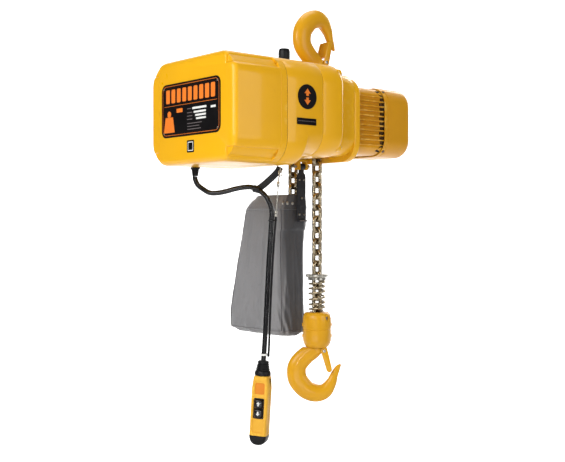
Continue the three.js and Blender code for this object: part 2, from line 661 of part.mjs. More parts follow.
addHook('bottom', bottomFrame, -814);
add('hook_thrust_bearing', turned('z', [0, 0, -840.5], [[14.5, -5], [28, -5], [28, 5], [14.5, 5]]), bright);
add('hook_nut', rod('z', [0, 0, -825.5], 24, 18, 6).subtract(rod('z', [0, 0, -825], 14 + GAP, 40)), bright);

add('limit_flange', turned('z', [0, 0, LIMIT_FLANGE_TOP],
  [[18, -16], [24, -16], [24, -9], [30, -7], [30, 0], [18, 0]], 24), bright);

class Helix extends THREE.Curve {
  getPoint(t, target = new THREE.Vector3()) {
    const angle = 2 * Math.PI * SPRING_TURNS * t;
    const low = BLOCK_TOP + SPRING_WIRE / 2 + GAP;
    const high = SPRING_TOP - SPRING_WIRE / 2 - GAP;
    return target.set(SPRING_RADIUS * Math.cos(angle), SPRING_RADIUS * Math.sin(angle),
      THREE.MathUtils.lerp(low, high, t));
  }
}
add('limit_spring', tube(new Helix(), SPRING_WIRE / 2, SPRING_TURNS * 9, 5), bright);

// ---- chain bag -----------------------------------------------------------------------------
// The bag narrows at its rim and widens away from the load chain towards its base.
const BAG_RINGS = [
  [BAG_TOP, -44, 44, 74, 222], [BAG_TOP - 32, -58, 54, 75, 260], [-535, -57, 56, 77, 280],
  [-570, -55, 57, 84, 289], [-795, -44, 58, 86, 356], [-826, -38, 52, 92, 350],
  [BAG_BOTTOM, -26, 40, 106, 330],
];

function bagShell(inset, topLift) {
  const sides = 20;
  const rings = BAG_RINGS.map((ring) => ring.slice());
  rings[0][0] += topLift;
  rings[rings.length - 1][0] += inset;
  const geometry = new THREE.CylinderGeometry(1, 1, 1, sides, rings.length - 1);
  const position = geometry.attributes.position;
  for (let i = 0; i < position.count; i += 1) {
    const row = Math.round((0.5 - position.getY(i)) * (rings.length - 1));
    const [z, x0, x1, y0, y1] = rings[row];
    const round = (value) => Math.sign(value) * Math.abs(value) ** 0.45;
    const x = (x0 + x1) / 2 + ((x1 - x0) / 2 - inset) * round(position.getX(i));
    const y = (y0 + y1) / 2 + ((y1 - y0) / 2 - inset) * round(position.getZ(i));
    position.setXYZ(i, x, y, z);
  }
  return solidEitherWay(geometry);
}
add('chain_bag', bagShell(0, 0).subtract(bagShell(3, 10)), fabric);

function bagBracket() {
  const plate = block([-12, 22], [58, 82], [-356, CENTRE_BOTTOM - GAP]);
  const ears = block([-12, -5], [60, 80], [-378, -350]).add(block([15, 22], [60, 80], [-378, -350]));
  const hole = rod('x', [5, 70, -368], 4.3, 80, 12);
  return plate.subtract(block([-30, 40], [80, 90], [-360, -340])).add(ears).subtract(hole);
}
add('bag_bracket', bagBracket(), hookYellow);
add('bag_pin', rod('x', [5, 70, -368], 4, 46, 12).add(rod('x', [30, 70, -368], 7, 5, 6)), bright);

function bagHanger() {
  const eye = rod('x', [5, 70, -368], 9, 18, 16);
  const tongue = block([-4, 14], [68, 72], [-400, -370]);
  const drop = block([-10, 20], [68, 72], [-519, -384]);
  const lip = block([-10, 20], [60, 72], [-519, -514]);
  return union([eye, tongue, drop, lip]).subtract(rod('x', [5, 70, -368], 4.3, 60, 12));
}
add('bag_hanger', bagHanger(), strapGrey);

// ---- cable, strain wire and pendant --------------------------------------------------------
add('cable_gland', union([
  rod('z', [GLAND[0], GLAND[1], COVER_BOTTOM - 8.3], 14, 16, 6),
  rod('z', [GLAND[0], GLAND[1], COVER_BOTTOM - 18], 11, 8, 16),
]).subtract(rod('z', [GLAND[0], GLAND[1], COVER_BOTTOM - 12], 5, 60, 12)), rubber);

const CABLE_ROUTE = [
  [-312, 123, -402.6], [-312, 123, -410], [-308, 117, -425], [-299, 106, -436], [-289, 93, -445], [-277, 77, -446],
  [-262, 58, -442], [-248, 39, -436], [-234, 20, -432], [-222, 4, -432], [-210, -11, -440],
  [-200, -25, -454], [-193, -34, -474], [-190, -38, -493], [-190, -37, -519], [-192, -35, -564],
  [-195, -32, -629], [-198, -28, -726], [-201, -24, -823], [-203, -21, -871.7],
];
const STRAIN_ROUTE = [
  [-176, -56, -390], [-181, -56, -408], [-184, -56, -436], [-185, -54, -468], [-184, -49, -493],
  [-183, -45, -519], [-185, -42, -564], [-188, -39, -629], [-191, -35, -726], [-193, -32, -823],
  [-194, -30, -862],
];
function curveThrough(points) {
  return new THREE.CatmullRomCurve3(points.map((p) => new THREE.Vector3(...p)));
}
add('pendant_cable', tube(curveThrough(CABLE_ROUTE), CABLE_RADIUS, 46, 8), rubber);
add('strain_wire', tube(curveThrough(STRAIN_ROUTE), STRAIN_RADIUS, 26, 8), bright);

// Turns a piece of the pendant, drawn hanging from the origin, to its place on the cable.
function hang(body) {
  return body.rotate([0, 0, -PENDANT_TURN - LEAN_DIRECTION]).rotate([PENDANT_LEAN, 0, 0])
    .rotate([0, 0, LEAN_DIRECTION]).translate(PENDANT_TOP);
}

add('pendant_boot', hang(
  rod('z', [0, 0, -BOOT_LENGTH / 2], 21, BOOT_LENGTH - 2 * GAP, 16, 14)
    .subtract(rod('z', [0, 0, -BOOT_LENGTH / 2], 5, 60, 12))), rubber);

// The pendant's outline from the front, extruded and rounded, and narrower at its top.
function pendantCase() {
  const topHalf = 19;
  const half = 22;
  const depth = 40;
  const bottom = -PENDANT_LENGTH;
  const shape = new THREE.Shape();
  shape.moveTo(-topHalf, -BOOT_LENGTH);
  shape.lineTo(topHalf, -BOOT_LENGTH);
  shape.lineTo(half, -BOOT_LENGTH - 30);
  shape.lineTo(half, bottom + 20);
  shape.quadraticCurveTo(half - 4, bottom, 0, bottom);
  shape.quadraticCurveTo(-half + 4, bottom, -half, bottom + 20);
  shape.lineTo(-half, -BOOT_LENGTH - 30);
  const geometry = new THREE.ExtrudeGeometry(shape, {
    depth: depth - 10, bevelEnabled: true, bevelSize: 5, bevelThickness: 5, bevelOffset: -5,
    bevelSegments: 2, curveSegments: 6,
  });
  const basis = new THREE.Matrix4().makeBasis(
    new THREE.Vector3(1, 0, 0), new THREE.Vector3(0, 0, 1), new THREE.Vector3(0, -1, 0));
  geometry.applyMatrix4(basis);
  geometry.translate(0, depth / 2 - 5, 0);
  const wells = Object.values(BUTTON_DEPTHS).map((z) => block([-11, 11], [-40, 2], [z - 11, z + 11]));
  return solid(geometry).subtract(union(wells));
}
add('pendant_case', hang(pendantCase()), plasticYellow);

for (const [name, z] of Object.entries(BUTTON_DEPTHS)) {
  add(name, hang(block([-10.3, 10.3], [-25, -8], [z - 10.3, z + 10.3])), rubber);
}

// ---- fittings ------------------------------------------------------------------------------
add('name_plate', roundedBlock([COVER_START - 1.3, COVER_START - GAP], [-122, 124], [-312, -180], 18, 0, 5),
  labelBlack);
add('side_badge', rod('y', [-192, -BODY_HALF - 0.9, -218], 30, 1.2, 28), labelBlack);
add('side_label', block([-225, -163], [-BODY_HALF - 1.5, -BODY_HALF - GAP], [-286, -270]), labelBlack);
add('breather_cap', rod('z', [-150, -40, BODY_TOP + 22], 14, 43, 20), rubber);

// Control gear inside the cover.
add('control_plate', block([-262, -259], [-130, 130], [-340, -160]), bright);
add('contactor_up', block([-310, -263], [-95, -45], [-240, -180]), labelBlack);
add('contactor_down', block([-310, -263], [-35, 15], [-240, -180]), labelBlack);
add('transformer', block([-325, -263], [35, 105], [-250, -175]), copper);
add('terminal_strip', block([-290, -263], [-95, 95], [-310, -285]), greyPlastic);
add('chain_guide', block([-28, 26], [-26, -22], [-341, -300])
  .add(block([-28, -24], [-26, 74], [-341, -316])).add(block([24, 26], [-26, 74], [-341, -316])), iron);

export default hoist;
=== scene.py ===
# The looks of an electric chain hoist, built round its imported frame. Lengths are in metres.
import json
import math
from itertools import product

import bmesh
import bpy
import numpy as np
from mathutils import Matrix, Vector, noise


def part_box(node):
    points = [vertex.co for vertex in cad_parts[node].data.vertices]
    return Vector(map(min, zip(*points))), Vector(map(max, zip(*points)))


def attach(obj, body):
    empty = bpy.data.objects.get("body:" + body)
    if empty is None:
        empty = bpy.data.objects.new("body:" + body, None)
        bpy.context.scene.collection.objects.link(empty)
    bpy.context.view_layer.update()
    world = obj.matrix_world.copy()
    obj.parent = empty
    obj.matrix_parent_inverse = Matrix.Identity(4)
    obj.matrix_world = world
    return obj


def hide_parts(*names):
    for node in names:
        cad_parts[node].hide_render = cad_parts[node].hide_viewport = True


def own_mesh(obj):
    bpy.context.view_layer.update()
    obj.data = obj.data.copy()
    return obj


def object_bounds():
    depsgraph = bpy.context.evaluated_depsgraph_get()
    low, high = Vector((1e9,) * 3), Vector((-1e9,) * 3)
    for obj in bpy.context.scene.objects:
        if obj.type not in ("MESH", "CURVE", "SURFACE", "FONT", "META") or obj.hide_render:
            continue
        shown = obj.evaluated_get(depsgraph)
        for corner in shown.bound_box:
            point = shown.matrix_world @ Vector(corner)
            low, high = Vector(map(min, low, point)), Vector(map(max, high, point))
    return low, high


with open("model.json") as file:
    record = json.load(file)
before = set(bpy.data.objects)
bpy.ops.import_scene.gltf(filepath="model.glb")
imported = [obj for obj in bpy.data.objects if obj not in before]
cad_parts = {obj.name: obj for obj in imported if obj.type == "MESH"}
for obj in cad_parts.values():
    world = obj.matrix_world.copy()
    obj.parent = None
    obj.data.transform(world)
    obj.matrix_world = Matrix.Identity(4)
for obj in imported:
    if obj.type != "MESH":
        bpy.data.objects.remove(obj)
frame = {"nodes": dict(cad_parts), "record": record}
cad_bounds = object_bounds()

MM = 0.001
VIEW = np.array([0.6468, 0.7627, 0.0])
ACROSS = np.array([0.7627, -0.6468, 0.0])
UP = np.array([0.0, 0.0, 1.0])


def low(node):
    return np.array(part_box(node)[0])


def high(node):
    return np.array(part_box(node)[1])


# ---- camera, light and stage -----------------------------------------------------------------
CAMERA_DISTANCE = 2.55
CAMERA_ASIDE = 0.0928
CAMERA_HEIGHT = -0.523
CAMERA_LENS = 60.4
CAMERA_PITCH = math.radians(0.48)


def make_camera():
    data = bpy.data.cameras.new("camera")
    camera = bpy.data.objects.new("camera", data)
    bpy.context.collection.objects.link(camera)
    place = -CAMERA_DISTANCE * VIEW - CAMERA_ASIDE * ACROSS + CAMERA_HEIGHT * UP
    camera.location = place
    look = Vector(math.cos(CAMERA_PITCH) * VIEW - math.sin(CAMERA_PITCH) * UP)
    camera.rotation_mode = "QUATERNION"
    camera.rotation_quaternion = look.to_track_quat("-Z", "Y")
    data.lens = CAMERA_LENS
    data.clip_end = 60
    bpy.context.scene.camera = camera


def area_light(name, place, target, size, power):
    data = bpy.data.lights.new(name, "AREA")
    data.shape = "RECTANGLE"
    data.size, data.size_y = size
    data.energy = power
    lamp = bpy.data.objects.new(name, data)
    bpy.context.collection.objects.link(lamp)
    lamp.location = place
    lamp.rotation_mode = "QUATERNION"
    lamp.rotation_quaternion = (Vector(target) - Vector(place)).to_track_quat("-Z", "Y")


def from_camera(aside, up, away):
    return tuple(aside * ACROSS + (CAMERA_HEIGHT + up) * UP + away * VIEW)


LIGHTS = [  # name; place aside, up and away from the part as the camera sees it; size; power
    ("key", (-1.9, 1.0, -1.9), (1.3, 1.3), 44), ("fill", (2.2, 0.5, -1.7), (1.5, 1.8), 22),
    ("strip", (-0.55, 0.5, -2.3), (0.07, 1.8), 15), ("top", (0.1, 2.1, 0.2), (2.0, 1.2), 24),
    ("rim", (1.2, 0.9, 1.7), (1.0, 1.6), 22), ("under", (-0.5, -1.0, -1.3), (1.6, 1.0), 11)]
WORLD_STRENGTH = 0.11


def make_light():
    scene = bpy.context.scene
    scene.view_settings.view_transform = "Standard"
    scene.view_settings.look = "None"
    world = bpy.data.worlds.new("studio")
    scene.world = world
    world.use_nodes = True
    background = world.node_tree.nodes["Background"]
    background.inputs["Color"].default_value = (1, 1, 1, 1)
    background.inputs["Strength"].default_value = WORLD_STRENGTH
    middle = from_camera(-0.1, 0.1, 0)
    for name, place, size, power in LIGHTS:
        area_light(name, from_camera(*place), middle, size, power)


FLOOR_GAP = 0.35  # from the part's lowest point
GLOW_START, GLOW_END = 0.2, 1.15  # where, along the view, the floor starts to glow and is brightest
BACKDROP_AWAY = 4.2
BACKDROP_SIZE = (6.5, 5.2)


def glowing(item, name, grey, strength):
    """Gives an item a matte look with a white glow; returns the material's nodes, links and shader."""
    look = bpy.data.materials.new(name)
    look.use_nodes = True
    shader = look.node_tree.nodes["Principled BSDF"]
    shader.inputs["Base Color"].default_value = (grey, grey, grey, 1)
    shader.inputs["Emission Color"].default_value = (1, 1, 1, 1)
    shader.inputs["Emission Strength"].default_value = strength
    item.data.materials.append(look)
    return look.node_tree.nodes, look.node_tree.links, shader


def make_floor():
    """A pale floor that turns white towards a white backdrop."""
    bottom = cad_bounds[0][2] - FLOOR_GAP
    bpy.ops.mesh.primitive_plane_add(size=12, location=(0, 0, bottom))
    floor = bpy.context.object
    floor.name = "floor"
    nodes, links, shader = glowing(floor, "floor_pale", 0.78, 0.0)
    shader.inputs["Roughness"].default_value = 0.9
    geometry = nodes.new("ShaderNodeNewGeometry")
    away = nodes.new("ShaderNodeVectorMath")
    away.operation = "DOT_PRODUCT"
    away.inputs[1].default_value = tuple(VIEW)
    links.new(geometry.outputs["Position"], away.inputs[0])
    ramp = nodes.new("ShaderNodeMapRange")
    ramp.inputs["From Min"].default_value = GLOW_START
    ramp.inputs["From Max"].default_value = GLOW_END
    ramp.inputs["To Min"].default_value = 0.02
    ramp.inputs["To Max"].default_value = 0.95
    links.new(away.outputs["Value"], ramp.inputs["Value"])
    links.new(ramp.outputs["Result"], shader.inputs["Emission Strength"])
    bpy.ops.mesh.primitive_plane_add(size=1, location=(0, 0, 0))
    backdrop = bpy.context.object
    backdrop.name = "backdrop"
    backdrop.scale = (*BACKDROP_SIZE, 1)
    backdrop.location = tuple(BACKDROP_AWAY * VIEW + (bottom + BACKDROP_SIZE[1] / 2) * UP)
    backdrop.rotation_mode = "QUATERNION"
    backdrop.rotation_quaternion = Vector(tuple(-VIEW)).to_track_quat("Z", "Y")
    glowing(backdrop, "backdrop_white", 0.8, 1.0)


make_camera()
make_light()
make_floor()


# ---- materials -------------------------------------------------------------------------------
class Look:
    """One procedural material: a base colour with drift, fine bump and worn edges."""

    def __init__(self, name, color, roughness, metallic=0.0):
        self.material = bpy.data.materials.new(name)
        self.material.use_nodes = True
        self.nodes = self.material.node_tree.nodes
        self.links = self.material.node_tree.links
        self.shader = self.nodes["Principled BSDF"]
        self.shader.inputs["Metallic"].default_value = metallic
        self.coordinate = self.nodes.new("ShaderNodeTexCoord").outputs["Object"]
        self.color = self.rgb(color)
        self.roughness = None
        self.base_roughness = roughness
        self.height = None

    def rgb(self, color):
        node = self.nodes.new("ShaderNodeRGB")
        node.outputs[0].default_value = (*color, 1)
        return node.outputs[0]

    def stretched(self, scale):
        node = self.nodes.new("ShaderNodeMapping")
        node.inputs["Scale"].default_value = scale
        self.links.new(self.coordinate, node.inputs["Vector"])
        return node.outputs["Vector"]

    def noise(self, scale, detail=3.0, stretch=None, distortion=0.0):
        node = self.nodes.new("ShaderNodeTexNoise")
        node.inputs["Scale"].default_value = scale
        node.inputs["Detail"].default_value = detail
        node.inputs["Distortion"].default_value = distortion
        source = self.stretched(stretch) if stretch else self.coordinate
        self.links.new(source, node.inputs["Vector"])
        return node.outputs["Fac"]

    def wave(self, scale, direction, distortion=0.0):
        node = self.nodes.new("ShaderNodeTexWave")
        node.bands_direction = direction
        node.inputs["Scale"].default_value = scale
        node.inputs["Distortion"].default_value = distortion
        self.links.new(self.coordinate, node.inputs["Vector"])
        return node.outputs["Fac"]

    def toward_near(self):
        """How squarely the surface faces the part's near side, its own -Y; used as the mask for painted shade on
        that side.
        """
        node = self.nodes.new("ShaderNodeVectorMath")
        node.operation = "DOT_PRODUCT"
        node.inputs[1].default_value = (0, -1, 0)
        self.links.new(self.nodes.new("ShaderNodeTexCoord").outputs["Normal"], node.inputs[0])
        return node.outputs["Value"]

    def ramp(self, value, start, end, low_value=0.0, high_value=1.0):
        node = self.nodes.new("ShaderNodeMapRange")
        node.inputs["From Min"].default_value = start
        node.inputs["From Max"].default_value = end
        node.inputs["To Min"].default_value = low_value
        node.inputs["To Max"].default_value = high_value
        self.links.new(value, node.inputs["Value"])
        return node.outputs["Result"]

    def multiply(self, first, second):
        node = self.nodes.new("ShaderNodeMath")
        node.operation = "MULTIPLY"
        self.links.new(first, node.inputs[0])
        self.links.new(second, node.inputs[1])
        return node.outputs[0]

    def mix(self, share, color):
        node = self.nodes.new("ShaderNodeMix")
        node.data_type = "RGBA"
        self.links.new(share, node.inputs["Factor"])
        self.links.new(self.color, node.inputs["A"])
        node.inputs["B"].default_value = (*color, 1)
        self.color = node.outputs["Result"]
        return self

    def edges(self, color, start=0.53, end=0.62, patch=60.0):
        geometry = self.nodes.new("ShaderNodeNewGeometry")
        sharp = self.ramp(geometry.outputs["Pointiness"], start, end)
        worn = self.ramp(self.noise(patch, 6), 0.5, 0.66)
        return self.mix(self.multiply(sharp, worn), color)

    def rough(self, value, least, most):
        self.roughness = self.ramp(value, 0.3, 0.7, least, most)
        return self

    def bump(self, value, distance):
        node = self.nodes.new("ShaderNodeBump")
        node.inputs["Strength"].default_value = 1.0
        node.inputs["Distance"].default_value = distance
        self.links.new(value, node.inputs["Height"])
        if self.height is not None:
            self.links.new(self.height, node.inputs["Normal"])
        self.height = node.outputs["Normal"]
        return self

    def socket(self, name, value):
        self.shader.inputs[name].default_value = value
        return self

    def done(self):
        self.links.new(self.color, self.shader.inputs["Base Color"])
        if self.roughness is None:
            self.shader.inputs["Roughness"].default_value = self.base_roughness
        else:
            self.links.new(self.roughness, self.shader.inputs["Roughness"])
        if self.height is not None:
            self.links.new(self.height, self.shader.inputs["Normal"])
        return self.material


def paint(name, color, shade, roughness, peel):
    look = Look(name, color, roughness)
    look.mix(look.ramp(look.noise(5, 4), 0.35, 0.7, 0.0, 0.55), shade)
    look.mix(look.ramp(look.noise(90, 6), 0.62, 0.8, 0.0, 0.35), shade)
    look.edges((0.95, 0.66, 0.16))
    look.rough(look.noise(14, 5), roughness - 0.06, roughness + 0.1)
    look.bump(look.noise(peel, 2), 0.00012)
    look.bump(look.noise(1400, 2), 0.00003)
    look.socket("Coat Weight", 0.30)
    look.socket("Coat Roughness", 0.06)
    look.socket("Specular IOR Level", 0.20)
    return look.done()


def metal(name, color, shade, roughness, brushed=(1, 1, 1)):
    look = Look(name, color, roughness, 1.0)
    look.mix(look.ramp(look.noise(30, 6), 0.4, 0.7), shade)
    look.mix(look.ramp(look.noise(260, 6), 0.56, 0.75, 0.0, 0.8), tuple(0.35 * c for c in shade))
    look.edges(tuple(min(1.0, 1.6 * c) for c in color), 0.52, 0.6, 200)
    look.rough(look.noise(120, 5, brushed), roughness - 0.1, roughness + 0.14)
    look.bump(look.noise(700, 4, brushed), 0.00006)
    return look.done()


def moulded(name, color, shade, roughness, grain=900.0, depth=0.00008, shine=0.20):
    look = Look(name, color, roughness)
    look.mix(look.ramp(look.noise(12, 5), 0.35, 0.7, 0.0, 0.6), shade)
    look.edges(tuple(min(1.0, 1.5 * c + 0.02) for c in color), 0.52, 0.6, 150)
    look.rough(look.noise(40, 5), roughness - 0.08, roughness + 0.12)
    look.bump(look.noise(grain, 3), depth)
    look.socket("Specular IOR Level", shine)
    return look.done()


def woven(name, color, shade, painted_side_shade=None):
    look = Look(name, color, 0.6)
    look.mix(look.ramp(look.noise(7, 4, (1, 1, 0.6)), 0.4, 0.7, 0.0, 0.45), shade)
    look.mix(look.ramp(look.noise(160, 5), 0.6, 0.78, 0.0, 0.4), tuple(0.55 * c for c in color))
    # painted shade: faces turned to the part's near side (-Y) are darkened towards the given side colour, where less
    # light falls
    if painted_side_shade:
        look.mix(look.ramp(look.toward_near(), 0.35, 0.75, 0.0, 0.85), painted_side_shade)
    look.rough(look.noise(20, 4), 0.30, 0.46)
    weave = look.multiply(look.wave(330, "Z", 0.4), look.wave(330, "DIAGONAL", 0.4))
    look.bump(weave, 0.00005)
    look.bump(look.noise(9, 2, (1, 1, 0.6)), 0.0020)
    look.bump(look.noise(45, 4, (1, 1, 0.7)), 0.0006)
    look.socket("Specular IOR Level", 0.26)
    return look.done()


def printed(name, color, roughness):
    look = Look(name, color, roughness)
    look.mix(look.ramp(look.noise(300, 5), 0.55, 0.75, 0.0, 0.35), tuple(0.6 * c for c in color))
    look.rough(look.noise(50, 4), roughness - 0.06, roughness + 0.1)
    look.bump(look.noise(500, 3), 0.00002)
    look.socket("Specular IOR Level", 0.12)
    return look.done()


# each look's maker, with colour, second colour, roughness and what else that maker takes
LOOKS = {name: maker(name, *values) for name, (maker, *values) in {
    "yellow_paint": (paint, (0.83, 0.425, 0.007), (0.75, 0.370, 0.006), 0.33, 420),
    "cast_yellow": (paint, (0.68, 0.315, 0.009), (0.57, 0.250, 0.007), 0.42, 260),
    "hook_yellow": (paint, (0.74, 0.372, 0.010), (0.62, 0.292, 0.007), 0.36, 300),
    "label": (printed, (0.0035, 0.0028, 0.0032), 0.40),
    "label_orange": (printed, (0.80, 0.20, 0.025), 0.4),
    "label_white": (printed, (0.75, 0.75, 0.72), 0.4),
    "label_grey": (printed, (0.16, 0.14, 0.14), 0.4),
    "pendant_yellow": (moulded, (0.80, 0.44, 0.045), (0.70, 0.34, 0.022), 0.44),
    "pendant_orange": (moulded, (0.70, 0.23, 0.018), (0.78, 0.34, 0.03), 0.42),
    "rubber": (moulded, (0.0035, 0.0035, 0.0042), (0.008, 0.008, 0.009), 0.36, 1200),
    "cable_black": (moulded, (0.0035, 0.0035, 0.0042), (0.006, 0.006, 0.007), 0.20, 1200, 0.00002, 0.45),
    # painted shadow for the motor's vent openings
    "vent_brown": (moulded, (0.070, 0.034, 0.006), (0.035, 0.017, 0.004), 0.6),
    "button_black": (moulded, (0.006, 0.006, 0.007), (0.012, 0.012, 0.012), 0.18, 900.0, 0.00008, 0.40),
    "chain_steel": (metal, (0.46, 0.39, 0.27), (0.22, 0.165, 0.10), 0.26),
    "bright_steel": (metal, (0.52, 0.50, 0.45), (0.34, 0.32, 0.27), 0.26, (1, 1, 12)),
    # the bag fabric's last colour is painted shade for the near (-Y) panel, where less light falls
    "bag_fabric": (woven, (0.245, 0.243, 0.250), (0.170, 0.170, 0.178), (0.045, 0.045, 0.050)),
    "webbing": (woven, (0.008, 0.008, 0.009), (0.016, 0.016, 0.017)),
    "strap_grey": (moulded, (0.020, 0.021, 0.025), (0.035, 0.036, 0.040), 0.42),
    "copper": (metal, (0.50, 0.20, 0.08), (0.36, 0.13, 0.05), 0.4),
    "iron": (metal, (0.16, 0.16, 0.17), (0.10, 0.09, 0.09), 0.55),
    "grey_plastic": (moulded, (0.32, 0.33, 0.34), (0.26, 0.27, 0.28), 0.5),
    # dark for the gaskets and seams between parts, and painted shadow in the motor rim's corner notches
    "dark_gap": (moulded, (0.01, 0.008, 0.006), (0.02, 0.015, 0.01), 0.7),
}.items()}


def dress_frame():
    slots = {part["node"]: part["material_slot"] for part in frame["record"]["subparts"]}
    for name, node in frame["nodes"].items():
        node.data.materials.clear()
        node.data.materials.append(LOOKS[slots[name]])


dress_frame()


# ---- mesh helpers ----------------------------------------------------------------------------
def piece(name, points, faces, look, body="hoist", slot=None, stands_for=(), sharp=32.0):
    """Makes one object that rides on a body; edges above the sharp angle stay hard."""
    mesh = bpy.data.meshes.new(name)
    mesh.from_pydata([tuple(map(float, p)) for p in points], [], [tuple(f) for f in faces])
    shape = bmesh.new()
    shape.from_mesh(mesh)
    bmesh.ops.remove_doubles(shape, verts=shape.verts, dist=1e-7)
    bmesh.ops.recalc_face_normals(shape, faces=shape.faces)
    shape.to_mesh(mesh)
    shape.free()
    for face in mesh.polygons:
        face.use_smooth = True
    mesh.set_sharp_from_angle(angle=math.radians(sharp))
    mesh.materials.append(LOOKS[look])
    item = bpy.data.objects.new(name, mesh)
    bpy.context.collection.objects.link(item)
    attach(item, body)
    if stands_for:
        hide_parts(*stands_for)
    return item


def ring_faces(start, count, rows, closed=False):
    faces = []
    for row in range(rows if closed else rows - 1):
        a = start + row * count
        b = start + ((row + 1) % rows) * count
        for k in range(count):
            n = (k + 1) % count
            faces.append((a + k, a + n, b + n, b + k))
    return faces


def lofted(rings, closed=False):
    """Points and faces of a closed skin through equal rings, with flat ends unless closed."""
    count = len(rings[0])
    points = [p for ring in rings for p in ring]
    faces = ring_faces(0, count, len(rings), closed)
    if not closed:
        faces.append(tuple(range(count - 1, -1, -1)))
        last = (len(rings) - 1) * count
        faces.append(tuple(range(last, last + count)))
    return points, faces


def join(*bodies):
    points, faces = [], []
    for more, sides in bodies:
        start = len(points)
        points += list(more)
        faces += [tuple(start + i for i in side) for side in sides]
    return points, faces


def frame_of(direction):
    axis = np.asarray(direction, float)
    axis = axis / np.linalg.norm(axis)
    helper = UP if abs(axis[2]) < 0.9 else np.array([1.0, 0, 0])
    side = np.cross(helper, axis)
    side /= np.linalg.norm(side)
    return axis, side, np.cross(axis, side)


def turned(profile, centre, direction=(0, 0, 1), sides=48, closed=False):
    """A body of revolution through [radius, height] points along a direction."""
    axis, side, other = frame_of(direction)
    rings = []
    for radius, height in profile:
        ring = []
        for k in range(sides):
            angle = 2 * math.pi * k / sides
            around = math.cos(angle) * side + math.sin(angle) * other
            ring.append(np.asarray(centre) + height * axis + max(radius, 1e-5) * around)
        rings.append(ring)
    return lofted(rings, closed)


def catmull(points, steps):
    """A smooth line through points, with equal steps along its length."""
    points = np.asarray(points, float)
    padded = np.vstack([2 * points[0] - points[1], points, 2 * points[-1] - points[-2]])
    fine = []
    for i in range(len(points) - 1):
        p0, p1, p2, p3 = padded[i:i + 4]
        for t in np.linspace(0, 1, 24, endpoint=False):
            fine.append(0.5 * (2 * p1 + (p2 - p0) * t + (2 * p0 - 5 * p1 + 4 * p2 - p3) * t ** 2
                               + (3 * p1 - p0 - 3 * p2 + p3) * t ** 3))
    fine.append(points[-1])
    fine = np.array(fine)
    reach = np.concatenate([[0], np.cumsum(np.linalg.norm(np.diff(fine, axis=0), axis=1))])
    wanted = np.linspace(0, reach[-1], steps)
    return np.column_stack([np.interp(wanted, reach, fine[:, k]) for k in range(fine.shape[1])])


def tube(path, radius, sides=16, closed=False):
    """A tube along a line, its section carried along without twist."""
    path = np.asarray(path, float)
    count = len(path)
    if closed:
        tangents = np.roll(path, -1, axis=0) - np.roll(path, 1, axis=0)
    else:
        tangents = np.gradient(path, axis=0)
    tangents /= np.linalg.norm(tangents, axis=1, keepdims=True)
    _, side, _ = frame_of(tangents[0])
    rings = []
    for i in range(count):
        side = side - tangents[i] * np.dot(side, tangents[i])
        side /= np.linalg.norm(side)
        other = np.cross(tangents[i], side)
        size = radius(i / (count - 1)) if callable(radius) else radius
        rings.append([path[i] + size * (math.cos(a) * side + math.sin(a) * other)
                      for a in np.linspace(0, 2 * math.pi, sides, endpoint=False)])
    return lofted(rings, closed)


def round_corners(half_u, half_v, corner, radius, steps):
    """An outline about the origin, its corners drawn round their centres with the given radius."""
    outline = []
    for quarter, (side_u, side_v) in enumerate([(1, 1), (-1, 1), (-1, -1), (1, -1)]):
        for a in np.linspace(0, math.pi / 2, steps):
            angle = quarter * math.pi / 2 + a
            outline.append((side_u * (half_u - corner) + radius * math.cos(angle),
                            side_v * (half_v - corner) + radius * math.sin(angle)))
    return outline


def rounded_plate(width, height, corner, thick, edge, steps=6):
    """A flat plate with round corners and an eased front edge, centred, its front face at +thick."""
    levels = [(0.0, 0.0), (0.0, thick - edge)]
    levels += [(edge * (1 - math.cos(a)), thick - edge + edge * math.sin(a))
               for a in np.linspace(0, math.pi / 2, 4)[1:]]
    return lofted([[(u, v, level) for u, v in
                    round_corners(width / 2, height / 2, corner, max(corner - inset, 1e-5), steps)]
                   for inset, level in levels])


def set_on(body, origin, right, up, out):
    points, faces = body
    origin, right, up, out = (np.asarray(v, float) for v in (origin, right, up, out))
    return [origin + p[0] * right + p[1] * up + p[2] * out for p in points], faces


# ---- casings ---------------------------------------------------------------------------------
CORNER = 0.060
WALL = 0.005
CORNER_STEPS = 40
POCKET_DEEP = (0.028, 0.029)  # how far each screw channel's walls lie from the corner's centre
CENTRE_CORNER = 0.048
FLANGE_CORNER = 0.050
LID = 0.030  # how far a casing's end wall reaches in from its outline
SEAM_EASE = 0.0014


def section(node_low, node_high, inset, corner=CORNER, pocket=0.0):
    """A round-cornered outline in the YZ plane; pocket sinks a screw channel into each corner."""
    y0, z0 = node_low[1] + inset, node_low[2] + inset
    y1, z1 = node_high[1] - inset, node_high[2] - inset
    radius = max(corner - inset, 0.002)
    outline = []
    for quarter, (cy, cz) in enumerate([(y1 - radius, z1 - radius), (y0 + radius, z1 - radius),
                                        (y0 + radius, z0 + radius), (y1 - radius, z0 + radius)]):
        reach = []
        angles = np.linspace(0, math.pi / 2, CORNER_STEPS)
        for a in angles:
            along, down = (a, math.pi / 2 - a) if quarter % 2 == 0 else (math.pi / 2 - a, a)
            edge = max(POCKET_DEEP[0] / max(math.cos(along), 1e-3),
                       POCKET_DEEP[1] / max(math.cos(down), 1e-3))
            sunk = min(radius, edge - inset * 0.6)
            reach.append(radius + (sunk - radius) * pocket)
        reach = np.convolve(np.pad(reach, 2, mode="edge"), np.ones(5) / 5, mode="valid")
        for a, r in zip(angles, reach):
            angle = quarter * math.pi / 2 + a
            outline.append((cy + r * math.cos(angle), cz + r * math.sin(angle)))
    return outline


def at_x(outline, x):
    return [np.array([x, y, z]) for y, z in outline]


